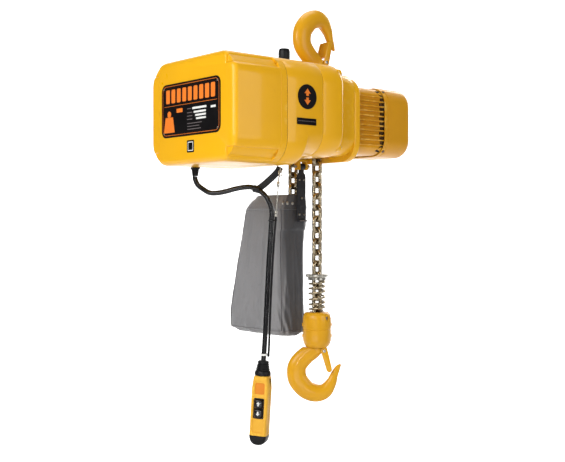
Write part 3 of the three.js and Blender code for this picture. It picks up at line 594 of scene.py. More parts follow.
def eased(x0, direction, radius, steps=6):
    """Pairs of place along X and inset for a rounded edge that starts at x0."""
    return [(x0 + direction * radius * (1 - math.sin(a)), radius * (1 - math.cos(a)))
            for a in np.linspace(0, math.pi / 2, steps)]


def cased(lo, hi, steps, corner=CORNER, closed=False):
    """A skin through outlines given by pairs of place along X and inset."""
    return lofted([at_x(section(lo, hi, inset, corner), x) for x, inset in steps], closed)


def cover():
    """The controller cover, with a screw channel along each corner."""
    lo, hi = low("controller_cover"), high("controller_cover")
    front, pocket_end = lo[0], hi[0] - 0.020
    steps = [(front + WALL, LID, 0), (front + WALL, WALL, 0), (hi[0], WALL, 0), (hi[0], 0.0012, 0),
             (hi[0] - 0.0015, 0, 0), (pocket_end + 0.001, 0, 0), (pocket_end, 0.001, 0),
             (pocket_end - 0.0004, 0, 1), (pocket_end - 0.004, 0, 1)]
    steps += [(x, inset, 1) for x, inset in eased(front, 1, 0.013)]
    return lofted([at_x(section(lo, hi, inset, pocket=pocket), x) for x, inset, pocket in steps])


piece("cover_skin", *cover(), "yellow_paint", stands_for=["controller_cover"], sharp=38)


def shell(node, left_ease, right_ease):
    """A hollow casing section along X whose ends are eased by the given radii."""
    lo, hi = low(node), high(node)
    steps = [(hi[0] - WALL, LID), (hi[0] - WALL, WALL), (lo[0], WALL)]
    return cased(lo, hi, steps + eased(lo[0], 1, left_ease, 4)[::-1] + eased(hi[0], -1, right_ease))


def cut(item, *cutters):
    """Cuts holes into a finished piece; each cutter is points and faces."""
    for points, faces in cutters:
        mesh = bpy.data.meshes.new("cutter")
        mesh.from_pydata([tuple(map(float, p)) for p in points], [], faces)
        shape = bmesh.new()
        shape.from_mesh(mesh)
        bmesh.ops.recalc_face_normals(shape, faces=shape.faces)
        shape.to_mesh(mesh)
        shape.free()
        tool = bpy.data.objects.new("cutter", mesh)
        bpy.context.collection.objects.link(tool)
        modifier = item.modifiers.new("cut", "BOOLEAN")
        modifier.object = tool
        modifier.solver = "EXACT"
        bpy.context.view_layer.objects.active = item
        bpy.ops.object.modifier_apply(modifier=modifier.name)
        bpy.data.objects.remove(tool)
    item.data.set_sharp_from_angle(angle=math.radians(32))


def brick(x, y, z):
    """A box between pairs of limits along each axis."""
    points = [np.array([a, b, c]) for a in x for b in y for c in z]
    faces = [(0, 1, 3, 2), (4, 6, 7, 5), (0, 4, 5, 1), (2, 3, 7, 6), (0, 2, 6, 4), (1, 5, 7, 3)]
    return points, faces


def rounded(item, width, segments=3, angle=30):
    """Rounds the sharp edges of a finished piece."""
    modifier = item.modifiers.new("edge", "BEVEL")
    modifier.width = width
    modifier.segments = segments
    modifier.limit_method = "ANGLE"
    modifier.angle_limit = math.radians(angle)
    bpy.context.view_layer.objects.active = item
    bpy.ops.object.modifier_apply(modifier=modifier.name)
    item.data.set_sharp_from_angle(angle=math.radians(40))
    return item


def extruded(outline, place, half, start=None):
    """A flat outline in 2D placed by place(u, v, n), from n = start to half."""
    start = -half if start is None else start
    return lofted([[place(u, v, n) for u, v in outline] for n in (start, half)])


def circle(centre, radius, sides=32):
    return [(centre[0] + radius * math.cos(a), centre[1] + radius * math.sin(a))
            for a in np.linspace(0, 2 * math.pi, sides, endpoint=False)]


def capsule(a, b, radius_a, radius_b, steps=10):
    a, b = np.asarray(a, float), np.asarray(b, float)
    angle = math.atan2(*(b - a)[::-1])
    ends = [(b, radius_b, angle - math.pi / 2), (a, radius_a, angle + math.pi / 2)]
    return [(c[0] + r * math.cos(s + t), c[1] + r * math.sin(s + t))
            for c, r, s in ends for t in np.linspace(0, math.pi, steps)]


def gear_case():
    """The gear case, whose lower lobe runs from its front end to lobe_end."""
    lo, hi = low("gear_case"), high("gear_case")
    bowl, lobe, lobe_end, ease = -0.356, lo[2], -0.190, 0.009
    steps = [(lo[0] + 0.006, bowl, WALL), (hi[0], bowl, WALL)]
    steps += [(x, bowl, inset) for x, inset in eased(hi[0], -1, SEAM_EASE, 4)[::-1]]
    steps += [(lobe_end + 0.0015, bowl, 0), (lobe_end + 0.0003, bowl - 0.001, 0), (lobe_end, bowl - 0.004, 0)]
    steps += [(lobe_end - ease * (1 - math.cos(a)), lobe + ease * (1 - math.sin(a)), 0)
              for a in np.linspace(0, math.pi / 2, 7)]
    steps += [(x, lobe, inset) for x, inset in eased(lo[0], 1, SEAM_EASE, 4)]
    return lofted([at_x(section(np.array([0, lo[1], bottom]), hi, inset), x) for x, bottom, inset in steps])


piece("gear_case_skin", *gear_case(), "yellow_paint", stands_for=["gear_case"], sharp=38)
piece("main_case_skin", *shell("main_case", SEAM_EASE, 0.014), "yellow_paint", stands_for=["main_case"],
      sharp=38)

lo, hi = low("centre_case"), high("centre_case")
steps = [(hi[0], WALL), (lo[0], WALL)] + eased(lo[0], 1, 0.001, 3)[::-1] + eased(hi[0], -1, 0.001, 3)
centre = piece("centre_case_skin", *cased(lo, hi, steps, CENTRE_CORNER, True), "yellow_paint",
               stands_for=["centre_case"], sharp=38)
cut(centre, brick((-0.021, 0.021), (-0.021, 0.119), (-0.37, -0.33)),
    turned([(0.015, -0.17), (0.015, -0.11)], (0, 0, 0)))


def mouth(half):
    """An outline round both chains, half wide on each side of them."""
    far = 0.098 + half
    return [(-half, -half), (half, -half), (half, far), (-half, far)]


rings = [[np.array([x, y, z]) for x, y in mouth(half)]
         for half, z in ((0.0205, -0.342), (0.0205, -0.350), (0.0235, -0.350), (0.0235, -0.346))]
piece("mouth_rim", *lofted(rings, closed=True), "cast_yellow")
seat = turned([(0.0155, -0.136), (0.032, -0.136), (0.032, -0.1312), (0.030, -0.1300), (0.0175, -0.1300),
               (0.0155, -0.1312)], (0, 0, 0), closed=True)
piece("swivel_collar", *seat, "cast_yellow")

lo, hi = low("motor_flange"), high("motor_flange")
steps = eased(lo[0], 1, 0.001, 3)[::-1] + eased(hi[0], -1, 0.004)
flange = piece("flange_skin", *cased(lo, hi, steps, FLANGE_CORNER), "yellow_paint",
               stands_for=["motor_flange"], sharp=38)
cut(flange, turned([(0.0153, 0.0), (0.0153, 0.04)], (0.02, 0, -0.246), (1, 0, 0)),
    turned([(0.0203, 0.0), (0.0203, 0.02)], (0.0225, 0.05, -0.29), (1, 0, 0)))

GASKETS = [(-0.25385, 0.0006, "controller_cover", CORNER), (-0.13915, 0.0005, "main_case", CORNER),
           (-0.06385, 0.0004, "centre_case", CENTRE_CORNER), (0.02815, 0.0004, "centre_case", CENTRE_CORNER)]
for k, (x, half, node, corner) in enumerate(GASKETS):
    steps = [(x - half, 0.0045), (x - half, 0.0010), (x + half, 0.0010), (x + half, 0.0045)]
    piece(f"gasket_{k}", *cased(low(node), high(node), steps, corner, True), "dark_gap", slot="rubber")


def screw(name, place, out, radius=0.0055, tall=0.005, look="bright_steel", body="hoist"):
    """A socket-head screw with an eased rim and a six-sided recess."""
    axis, side, other = frame_of(out)
    place = np.asarray(place, float)
    rings = []
    profile = [(radius, -0.001), (radius, tall * 0.8), (radius * 0.93, tall), (radius * 0.6, tall),
               (radius * 0.52, tall * 0.9), (radius * 0.5, tall * 0.3)]
    for r, h in profile:
        ring = []
        for k in range(24):
            a = 2 * math.pi * k / 24
            reach = r
            if r < radius * 0.58:
                reach = r / max(math.cos((a % (math.pi / 3)) - math.pi / 6), 0.8)
            ring.append(place + h * axis + reach * (math.cos(a) * side + math.sin(a) * other))
        rings.append(ring)
    return piece(name, *lofted(rings), look, body=body)


for k, (y, z) in enumerate(product((-0.1560, 0.1560), (-0.3625, -0.1400))):
    screw(f"cover_screw_{k}", (-0.2742, y, z), (-1, 0, 0), 0.0048, 0.0030, "hook_yellow")
for k, (y, z) in enumerate(product((-0.092, 0.092), (-0.338, -0.162))):
    screw(f"flange_screw_{k}", (0.0500, y, z), (1, 0, 0), 0.0065, 0.007)
for k, (y, z) in enumerate([(-0.150, -0.332), (-0.150, -0.147), (0.150, -0.147), (0.150, -0.332)]):
    screw(f"main_screw_{k}", (-0.0642, y, z), (1, 0, 0), 0.0065, 0.007)
    boss = turned([(0.0115, -0.010), (0.0115, 0.0008), (0.0100, 0.0022), (0.0072, 0.0022), (0.0072, -0.010)],
                  (-0.0642, y, z), (1, 0, 0), 32, closed=True)
    piece(f"main_boss_{k}", *boss, "yellow_paint")
for k, x in enumerate((-0.231, -0.161)):
    screw(f"top_screw_{k}", (x, -0.098, -0.1222), (0, 0, 1), 0.0058, 0.0045)
lug = turned([(0.0105, -0.006), (0.0105, 0.0010), (0.0090, 0.0022), (0.0001, 0.0022)],
             (-0.231, -0.098, -0.1225))
piece("top_boss", *lug, "yellow_paint")

# ---- motor -----------------------------------------------------------------------------------
AXIS_Z = -0.246
MOTOR_HALF, FAN_HALF, MOTOR_CORNER = 0.092, 0.095, 0.046
lo, hi = low("motor_housing"), high("motor_housing")


def motor_ring(x, half, inset=0.0, corner=MOTOR_CORNER, flank=1.0):
    """A rounded square across the motor; flank holds its near and far sides in."""
    square_low, square_high = np.array([0, -half, AXIS_Z - half]), np.array([0, half, AXIS_Z + half])
    ring = at_x(section(square_low, square_high, inset, corner), x)
    return [np.array([p[0], min(max(p[1], -flank), flank), p[2]]) for p in ring]


def motor_circle(x, radius, half, inset=0.0, corner=MOTOR_CORNER):
    """A circle with its points in line with those of the rounded square."""
    ring = []
    for p in motor_ring(x, half, inset, corner):
        angle = math.atan2(p[2] - AXIS_Z, p[1])
        ring.append(np.array([x, radius * math.cos(angle), AXIS_Z + radius * math.sin(angle)]))
    return ring


rings = [motor_ring(lo[0] + x, MOTOR_HALF, inset)
         for x, inset in ((0, 0.0010), (0.001, 0), (0.0065, 0), (0.0072, 0.0004))]
rings += [motor_ring(x, MOTOR_HALF, 0.0006, flank=0.083)
          for x in (lo[0] + 0.0095, lo[0] + 0.011, hi[0] - 0.001, hi[0])]
rings += [motor_circle(x, 0.0745, MOTOR_HALF) for x in (hi[0], lo[0])]
barrel = lofted(rings, closed=True)
FIN_PITCH = 0.013
fins = []
for k, side in product(range(11), (-1, 1)):
    up = (k - 5) * FIN_PITCH
    past = max(0.0, abs(up) - (MOTOR_HALF - MOTOR_CORNER))
    tip = MOTOR_HALF - (MOTOR_CORNER - math.sqrt(MOTOR_CORNER ** 2 - past ** 2))
    outline = [(0.081, -0.0024), (tip - 0.002, -0.0019), (tip - 0.0006, -0.0013), (tip, 0),
               (tip - 0.0006, 0.0013), (tip - 0.002, 0.0019), (0.081, 0.0024)]
    fins.append(lofted([[np.array([x, side * y, AXIS_Z + up + z]) for y, z in outline]
                        for x in (lo[0] + 0.002, lo[0] + 0.003, hi[0] - 0.001, hi[0])]))
piece("motor_skin", *join(barrel, *fins), "cast_yellow", stands_for=["motor_housing"], sharp=34)
# dark bricks at the fan end between the fins: painted shadow standing in for the vent openings
slots = []
for k, side in product(range(10), (-1, 1)):
    middle = AXIS_Z + (k - 4.5) * FIN_PITCH
    slots.append(brick((hi[0] - 0.0080 - 0.0012 * (k % 3), hi[0] - 0.0002),
                       sorted((side * 0.0825, side * 0.0865)), (middle - 0.0036, middle + 0.0036)))
piece("motor_vent_shadows", *join(*slots), "vent_brown", slot="rubber")
# thin dark sheets on the motor rim's corners, where the fan cover meets it: painted shadow standing in for small
# triangular openings
notch_shadows = []
for up, side in product((-1, 1), (-1, 1)):
    outlines = []
    for reach in (MOTOR_CORNER - 0.0010, MOTOR_CORNER + 0.0005):
        outlines.append([np.array([x, side * (MOTOR_HALF - MOTOR_CORNER + reach * math.cos(math.radians(a))),
                                   AXIS_Z + up * (MOTOR_HALF - MOTOR_CORNER + reach * math.sin(math.radians(a)))])
                         for x, a in ((0.1440, 50), (0.1610, 54), (0.1625, 22), (0.1530, 33))])
    notch_shadows.append(lofted(outlines))
piece("rim_notch_shadows", *join(*notch_shadows), "dark_gap", slot="rubber")


def fan_cover():
    """A thin hollow cover with a round boss and a hole in its end."""
    start, end, wall, edge, corner = 0.1640, 0.2820, 0.0025, 0.024, 0.049
    face = end - 0.008

    def ring(x, inset):
        return motor_ring(x, FAN_HALF, inset, corner)

    def round_ring(x, radius):
        return motor_circle(x, radius, FAN_HALF, edge, corner)

    # the open edge, then a shallow groove past the screws
    rings = [ring(start + x, inset) for x, inset in
             ((0, 0.0009), (0.001, 0), (0.011, 0), (0.0122, 0.0011), (0.0142, 0.0011), (0.0154, 0))]
    rings += [ring(x, inset) for x, inset in eased(face, -1, edge, 14)]
    rings += [round_ring(face + x, r) for x, r in
              ((0, 0.050), (0.0006, 0.0470), (0.0032, 0.0425), (0.0058, 0.0375), (0.0072, 0.0300),
               (0.0080, 0.0240),
               (0.0080, 0.0205), (0.0068, 0.0183), (0.0045, 0.0183), (0.0040, 0.0300), (-wall, 0.0460))]
    rings += [ring(x, wall + inset) for x, inset in eased(face - wall, -1, edge - wall, 8)[::-1]]
    rings.append(ring(start, wall))
    return lofted(rings, closed=True)


fan = piece("fan_cover_skin", *fan_cover(), "cast_yellow", stands_for=["fan_cover"], sharp=40)
for k in range(12):
    angle = math.radians(30 * k + 15)
    around = np.array([0, math.cos(angle), math.sin(angle)])
    across = np.array([0, -math.sin(angle), math.cos(angle)])
    middle = np.array([0.2740, 0, AXIS_Z])
    outline = capsule((0.053, 0), (0.066, 0), 0.0030, 0.0040, 7)
    cut(fan, lofted([[middle + u * around + v * across + np.array([x, 0, 0]) for u, v in outline]
                     for x in (-0.008, 0.008)]))
fan.data.set_sharp_from_angle(angle=math.radians(40))
for k, (side, up) in enumerate(((-1, -1), (1, -1), (1, 1), (-1, 1))):
    out = np.array([0, side * math.sqrt(0.5), up * math.sqrt(0.5)])
    corner_place = np.array([0.1705, side * 0.046, AXIS_Z + up * 0.046]) + 0.0483 * out
    screw(f"fan_screw_{k}", corner_place, out, 0.0040, 0.0022, "iron")

# ---- hooks and latches -----------------------------------------------------------------------
# along a hook from neck to point: place aside and up in the hook's own plane, and half width
HOOK_LINE = MM * np.array([
    [3, 108, 19], [-9, 93, 22], [-33, 75, 24], [-53, 50, 25.5], [-54, 20, 26], [-42, -1, 26], [-24, -17, 25],
    [0, -23.5, 23.5], [22, -17, 20], [38, 4, 14.5], [46, 24, 10.5], [55, 43, 7.5], [61, 51, 4]])
NECK_START = 0.1004
PIVOT = np.array([0.019, 0.0915])  # the latch's pin
TIP = np.array([0.034, 0.036])  # the latch's end, at the hook's point


def hook_place(facing, up, origin):
    facing, up = np.asarray(facing, float), np.asarray(up, float)
    facing = facing / np.linalg.norm(facing)
    across = np.cross(facing, up)
    return lambda u, v, n=0.0: np.asarray(origin, float) + u * facing + v * up + n * across


def hook_shape(place, shank_end):
    line = catmull(HOOK_LINE, 130)
    line = line[line[:, 1] < 1.0]
    tangents = np.gradient(line[:, :2], axis=0)
    tangents /= np.linalg.norm(tangents, axis=1, keepdims=True)
    stations = [(p[:2], t, p[2], 1.0) for p, t in zip(line, tangents)]
    tip, along, half, _ = stations[-1]
    stations += [(tip + along * half * math.sin(a), along, half, math.cos(a)) for a in (0.5, 0.95, 1.3, 1.5)]
    rings = []
    for centre, along, half, share in stations:
        thick = min(half, 0.68 * half + 0.0025)
        side = np.array([along[1], -along[0]])
        ring = []
        for k in range(40):
            a = 2 * math.pi * k / 40
            c, s = math.cos(a), math.sin(a)
            wide = share * half * math.copysign(abs(c) ** 0.88, c)
            lean = 1.0 - 0.10 * c
            u, v = centre + side * wide
            ring.append(place(u, min(v, NECK_START), share * thick * lean * 0.95 * math.copysign(abs(s) ** 0.80, s)))
        rings.append(ring)
    body = lofted(rings)
    base, up = place(0, 0), place(0, 1) - place(0, 0)
    neck = turned([(0.0165, 0.086), (0.0178, 0.0945), (0.018, 0.098), (0.018, 0.1095), (0.0165, 0.111),
                   (0.0141, 0.111),
                   (0.014, 0.113), (0.014, shank_end - 0.0015), (0.0125, shank_end)], base, up, 56)
    lug = extruded([(PIVOT[0] - 0.020, 0.0855), (PIVOT[0] + 0.003, 0.0855), (PIVOT[0] + 0.006, 0.0885),
                    (PIVOT[0] + 0.006, 0.0945), (PIVOT[0] + 0.003, 0.0975), (PIVOT[0] - 0.020, 0.0975)],
                   place, 0.0108)
    return join(body, neck, lug)


def latch_shape(place):
    cheek = capsule(PIVOT, TIP + 0.11 * (PIVOT - TIP), 0.0094, 0.0074)
    sides = [extruded(cheek, place, side * 0.0174, side * 0.0151) for side in (-1, 1)]
    root = TIP + 0.74 * (PIVOT - TIP)
    along = (TIP - root) / np.linalg.norm(TIP - root)
    aside = np.array([-along[1], along[0]])
    rings = []
    for share in (0.0, 0.15, 0.4, 0.65, 0.85, 0.96, 1.0):
        middle = root + share * (TIP - root)
        half = 0.0174 - 0.0050 * share ** 2 - (0.002 if share == 1.0 else 0)
        thick = 0.0056 - 0.0010 * share
        ring = []
        for k in range(28):
            a = 2 * math.pi * k / 28
            c, s = math.cos(a), math.sin(a)
            n = half * math.copysign(abs(c) ** 0.35, c)
            dish = 0.0016 * (1 - (n / half) ** 2)
            w = thick * math.copysign(abs(s) ** 0.55, s) - (dish if s > 0 else 0)
            u, v = middle + aside * w
            ring.append(place(u, v, n))
        rings.append(ring)
    return join(*sides, lofted(rings))


def add_hook(prefix, place, shank_end, body, latch_body):
    piece(f"{prefix}_hook_forging", *hook_shape(place, shank_end), "hook_yellow", body=body,
          stands_for=[f"{prefix}_hook"], sharp=50)
    latch = piece(f"{prefix}_latch_plate", *latch_shape(place), "hook_yellow", body=latch_body,
                  stands_for=[f"{prefix}_latch"], sharp=50)
    rounded(latch, 0.0006, 2, 50)
    across = place(0, 0, 1) - place(0, 0, 0)
    pin = turned([(0.0001, -0.0189), (0.0030, -0.0189), (0.0042, -0.0184), (0.0046, -0.0176),
                  (0.0030, -0.0175),
                  (0.0030, 0.0175), (0.0046, 0.0176), (0.0042, 0.0184), (0.0030, 0.0189), (0.0001, 0.0189)],
                 place(*PIVOT), across, 28)
    piece(f"{prefix}_latch_rivet", *pin, "bright_steel", body=body, stands_for=[f"{prefix}_latch_pin"],
          sharp=50)
    for side in (-1, 1):
        turns = np.linspace(0, 2 * math.pi * 3, 70)
        coil = [place(PIVOT[0] + 0.0046 * math.cos(a), PIVOT[1] + 0.0046 * math.sin(a),
                      side * (0.0115 + 0.0032 * a / turns[-1])) for a in turns]
        piece(f"{prefix}_latch_coil_{side + 1}", *tube(coil, 0.0005, 8), "bright_steel", body=body)


top_place = hook_place((1, 0, 0), (0, 0, -1), (0, 0, 0))
bottom_place = hook_place(ACROSS, (0, 0, 1), (0, 0, -0.957))
add_hook("top", top_place, 0.176, "suspension", "upper_latch")
add_hook("bottom", bottom_place, 0.143, "lower_hook", "lower_latch")

# ---- hook block, flange, spring and chains ---------------------------------------------------
block = turned([(0.0002, -0.802), (0.0195, -0.802), (0.0195, -0.7630), (0.0205, -0.762), (0.0270, -0.762),
                (0.0300, -0.7626), (0.0335, -0.7650), (0.0358, -0.7700), (0.0378, -0.7790), (0.0380, -0.7830),
                (0.0380, -0.8062), (0.0372, -0.8072), (0.0372, -0.8084), (0.0380, -0.8094),
                (0.0380, -0.8350), (0.0374, -0.8400), (0.0350, -0.8470), (0.0318, -0.8530), (0.0280, -0.856),
                (0.0225, -0.856), (0.0215, -0.855), (0.0215, -0.846), (0.0290, -0.846), (0.0290, -0.810),
                (0.0002, -0.810)], (0, 0, 0), sides=72)
block_item = piece("hook_block_shell", *block, "hook_yellow", body="hook_set", stands_for=["hook_block"],
                   sharp=42)
LINK_ANGLE = math.pi / 4 - 0.7037
pin_way = np.array([math.cos(LINK_ANGLE + math.pi / 2), math.sin(LINK_ANGLE + math.pi / 2), 0])
pin_place = np.array([0, 0, -0.7771])
cut(block_item, turned([(0.0053, -0.05), (0.0053, 0.05)], pin_place, pin_way, 32))
pin = turned([(0.0001, -0.035), (0.0042, -0.035), (0.005, -0.0342), (0.005, 0.0342), (0.0042, 0.035),
              (0.0001, 0.035)], pin_place, pin_way, 32)
piece("chain_pin_smooth", *pin, "bright_steel", body="hook_set", stands_for=["chain_pin"], sharp=40)
for k, (up, around) in enumerate(product((-0.796, -0.826), (-40.3, 139.7))):
    way = np.array([math.cos(math.radians(around)), math.sin(math.radians(around)), 0])
    screw(f"block_screw_{k}", 0.0372 * way + up * UP, way, 0.0050, 0.0026, "hook_yellow", body="hook_set")

flange = turned([(0.0180, -0.676), (0.0232, -0.676), (0.0240, -0.6752), (0.0240, -0.6692), (0.0248, -0.6688),
                 (0.0292, -0.6674), (0.0300, -0.6664), (0.0300, -0.6608), (0.0290, -0.660), (0.0190, -0.660),
                 (0.0180, -0.661)], (0, 0, 0), sides=64, closed=True)
piece("limit_flange_smooth", *flange, "bright_steel", body="limit_plate", stands_for=["limit_flange"],
      sharp=40)

SPRING_TURNS = 6
SPRING_RADIUS, SPRING_WIRE = 0.0207, 0.0027
SPRING_SEAT = (0, 0, -0.762)
spring_low, spring_high = SPRING_SEAT[2] + 0.003, -0.676 - 0.003
turns = np.linspace(0, 1, 34 * SPRING_TURNS)
helix = []
for t in turns:
    a = 2 * math.pi * SPRING_TURNS * t
    # the end turns lie closer together than the working ones
    eased_t = 0.5 + 0.5 * math.copysign(abs(2 * t - 1) ** 0.90, 2 * t - 1)
    helix.append([SPRING_RADIUS * math.cos(a), SPRING_RADIUS * math.sin(a),
                  spring_low + (spring_high - spring_low) * eased_t])
spring = piece("limit_spring_wire", *tube(helix, SPRING_WIRE, 12), "chain_steel", body="hook_set",
               slot="bright_steel",
               stands_for=["limit_spring"], sharp=50)
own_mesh(spring)

WIRE, PITCH, WIDTH = 0.0102, 0.0302, 0.034
FIRST_LINK = -0.768


def link(z, y, angle):
    half = (PITCH + WIRE) / 2 - 0.0003
    bend = (WIDTH - WIRE) / 2
    side = np.array([math.cos(angle), math.sin(angle), 0])
    straight = half - bend
    path = []
    for up in (1, -1):
        for a in np.linspace(0, math.pi, 15):
            path.append(np.array([0, y, z]) + side * bend * math.cos(a) * up
                        + UP * up * (straight + bend * math.sin(a)))
    path = np.array(path)
    # two more points on one straight side
    path = np.vstack([path[:15], [path[14] * 0.66 + path[15] * 0.34],
                      [path[14] * 0.34 + path[15] * 0.66], path[15:]])
    body = tube(path, WIRE / 2, 14, closed=True)
    weld = turned([(WIRE / 2 - 0.0004, -0.0022), (WIRE / 2 + 0.0003, -0.0014), (WIRE / 2 + 0.0004, 0),
                   (WIRE / 2 + 0.0003, 0.0014), (WIRE / 2 - 0.0004, 0.0022)],
                  np.array([0, y, z]) - side * bend, UP, 14)
    return join(body, weld)


def chain(first, y, numbers):
    return join(*[link(first + k * PITCH, y, LINK_ANGLE + (k % 2) * math.pi / 2) for k in numbers])


piece("load_chain_lower", *chain(FIRST_LINK, 0, range(5)), "chain_steel", body="hook_set",
      stands_for=["load_chain"], sharp=60)
upper = piece("load_chain_upper", *chain(FIRST_LINK, 0, range(5, 15)), "chain_steel", body="hook_set",
              stands_for=["load_chain"], sharp=60)
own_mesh(upper)
piece("no_load_chain_smooth", *chain(-0.4962, 0.098, range(6)), "chain_steel",
      stands_for=["no_load_chain"], sharp=60)

# ---- chain bag -------------------------------------------------------------------------------
# down the bag: height, then its least and greatest X and Y
BAG_RINGS = MM * np.array([
    [-445, -44, 44, 74, 222], [-477, -58, 54, 75, 260], [-535, -57, 56, 77, 280], [-570, -55, 57, 84, 289],
    [-795, -44, 58, 86, 356], [-826, -38, 52, 92, 350], [-838, -26, 40, 106, 330]])
BAG_SIDES = 200
BAG_ROWS = 130


def bag_turns():
    """Angles by share of the way round, even along the outline."""
    angles = np.linspace(0, 2 * math.pi, 4001)
    x = np.sign(np.cos(angles)) * abs(np.cos(angles)) ** 0.5 * 0.055
    y = np.sign(np.sin(angles)) * abs(np.sin(angles)) ** 0.5 * 0.125
    reach = np.concatenate([[0], np.cumsum(np.hypot(np.diff(x), np.diff(y)))])
    return reach / reach[-1], angles


BAG_SHARES, BAG_ANGLES = bag_turns()
BAG_LINE = catmull(BAG_RINGS, 400)


def bag_angle(share):
    return float(np.interp(share % 1.0, BAG_SHARES, BAG_ANGLES))


def bag_share(angle):
    return float(np.interp(angle % (2 * math.pi), BAG_ANGLES, BAG_SHARES))


def bag_point(z, share, out=0.0, fold=1.0):
    """A point on the bag's cloth at a height and a share of the way round it."""
    x0, x1, y0, y1 = [np.interp(-z, -BAG_LINE[:, 0], BAG_LINE[:, k]) for k in range(1, 5)]
    angle = bag_angle(share)
    c, s = math.cos(angle), math.sin(angle)
    px, py = math.copysign(abs(c) ** 0.5, c), math.copysign(abs(s) ** 0.5, s)
    turn = 2 * math.pi * share
    hang = float(np.clip((-0.480 - z) / 0.08, 0, 1))
    low_end = float(np.clip((-0.70 - z) / 0.11, 0, 1))
    ring = Vector((math.cos(turn), math.sin(turn), 0))
    long_fold = noise.noise(Vector((ring.x * 2.6, ring.y * 2.6, z * 2.2 + 3.0)))
    fine_fold = noise.noise(Vector((ring.x * 8.0, ring.y * 8.0, z * 5.0 + 9.0)))
    crease = 1.0 - abs(noise.noise(Vector((ring.x * 4.2, ring.y * 4.2, z * 4.0 - 5.0)))) * 4.0
    cross = noise.noise(Vector((ring.x * 5.0, ring.y * 5.0, z * 30.0 + ring.x * 7.0)))
    push = hang * (0.0078 * long_fold + 0.0006 * fine_fold + 0.0012 * max(crease, 0.0) ** 3)
    push += low_end * 0.0034 * cross
    push += (1 - hang) * 0.0003 * math.sin(46 * turn) * (1 if z < -0.447 else 0.3)
    push = fold * push - 0.0040 + out
    belly = 0.0045 * hang * (1 - low_end) * (abs(c) ** 3 + abs(s) ** 3 - 0.5)
    return np.array([(x0 + x1) / 2 + ((x1 - x0) / 2 + push - belly * 0.4) * px,
                     (y0 + y1) / 2 + ((y1 - y0) / 2 + push - belly * 0.4) * py, z])


def bag():
    rows = [-0.4452 - 0.3915 * (i / (BAG_ROWS - 1)) for i in range(BAG_ROWS)]
    shares = np.linspace(0, 1, BAG_SIDES, endpoint=False)
    outer = [[bag_point(z, a) for a in shares] for z in rows]
    inner = [[bag_point(z, a, -0.0016) for a in shares] for z in rows]
    for ring in inner:
        for p in ring:
            p[2] = max(p[2], -0.8352)
    return lofted(inner[::-1] + outer)


bag_item = piece("bag_cloth", *bag(), "bag_fabric", stands_for=["chain_bag"], sharp=80)


def bag_band(name, z, tall, out, look):
    """A strip that lies round the bag's outside."""
    rings = []
    for share in np.linspace(0, 1, 200, endpoint=False):
        rings.append([bag_point(z + dz, share, o) for dz, o in
                      ((-tall, 0.0001), (-tall, out * 0.8), (-tall * 0.94, out), (tall * 0.94, out),
                       (tall, out * 0.8), (tall, 0.0001))])
    return piece(name, *lofted(rings, True), look, slot="bag_fabric", sharp=50)


def bag_seam(name, points, radius):
    return piece(name, *tube([bag_point(z, a, 0.0004) for z, a in points], radius, 8), "bag_fabric", sharp=70)


hem_top = bag_band("bag_hem", -0.4640, 0.0185, 0.0020, "bag_fabric")
hem_cord = bag_seam("bag_hem_cord", [(-0.4838, a) for a in np.linspace(0, 1, 200)], 0.0019)
CORNERS = [bag_share(math.radians(a)) for a in (-45, 45, 135, 225)]
seams = [bag_seam(f"bag_seam_{k}", [(z, a) for z in np.linspace(-0.4835, -0.824, 90)], 0.0014)
         for k, a in enumerate(CORNERS)]
piping = bag_seam("bag_piping", [(-0.8240, a) for a in np.linspace(0, 1, 200)], 0.0027)
stitches = []
for z in (-0.4785, -0.4492):
    for share in np.linspace(0, 1, 110, endpoint=False):
        stitches.append(tube([bag_point(z, share + d, 0.0014) for d in (0.0, 0.0026, 0.0052)], 0.00038, 5))
for corner in CORNERS:
    for z in np.linspace(-0.488, -0.815, 62):
        stitches.append(tube([bag_point(z - d, corner + 0.0075, 0.0003) for d in (0.0, 0.0016, 0.0032)],
                             0.00034, 5))
stitching = piece("bag_stitching", *join(*stitches), "label_grey", slot="bag_fabric", sharp=70)
for k, x in enumerate((-0.046, -0.036, -0.020, 0.030)):
    x0, x1 = [np.interp(0.469, -BAG_LINE[:, 0], BAG_LINE[:, j]) for j in (1, 2)]
    wide = (x - (x0 + x1) / 2) / ((x1 - x0) / 2)
    c = math.copysign(wide * wide, wide)
    place = bag_point(-0.4690, bag_share(math.atan2(-math.sqrt(1 - c * c), c)), 0.0012)
    rivet = turned([(0.0046, -0.001), (0.0046, 0.0003), (0.0036, 0.0011), (0.0018, 0.0012), (0.0014, 0.0005),
                    (0.0001, 0.0005)], place, (0, -1, 0.05), 28)
    piece(f"bag_rivet_{k}", *rivet, "bright_steel", sharp=50)

# bracket, pin and hanger
BAG_PIN = (0.005, 0.070, -0.368)
bracket = join(brick((-0.012, 0.022), (0.058, 0.080), (-0.3555, -0.3473)),
               brick((-0.012, -0.005), (0.060, 0.080), (-0.3775, -0.350)),
               brick((0.015, 0.022), (0.060, 0.080), (-0.3775, -0.350)))
bracket_item = piece("bracket_casting", *bracket, "hook_yellow", stands_for=["bag_bracket"])
rounded(bracket_item, 0.0018, 3)
pin = join(turned([(0.0001, -0.0230), (0.0032, -0.0230), (0.0040, -0.0222), (0.0040, 0.0226),
                   (0.0001, 0.0226)],
                  BAG_PIN, (1, 0, 0), 28),
           turned([(0.0001, 0.0226), (0.0070, 0.0226), (0.0070, 0.0262), (0.0058, 0.0275), (0.0001, 0.0275)],
                  BAG_PIN, (1, 0, 0), 6))
piece("bag_pin_smooth", *pin, "bright_steel", stands_for=["bag_pin"], sharp=40)


def in_xz(u, v, n):
    return np.array([u, 0.070 + n, v])


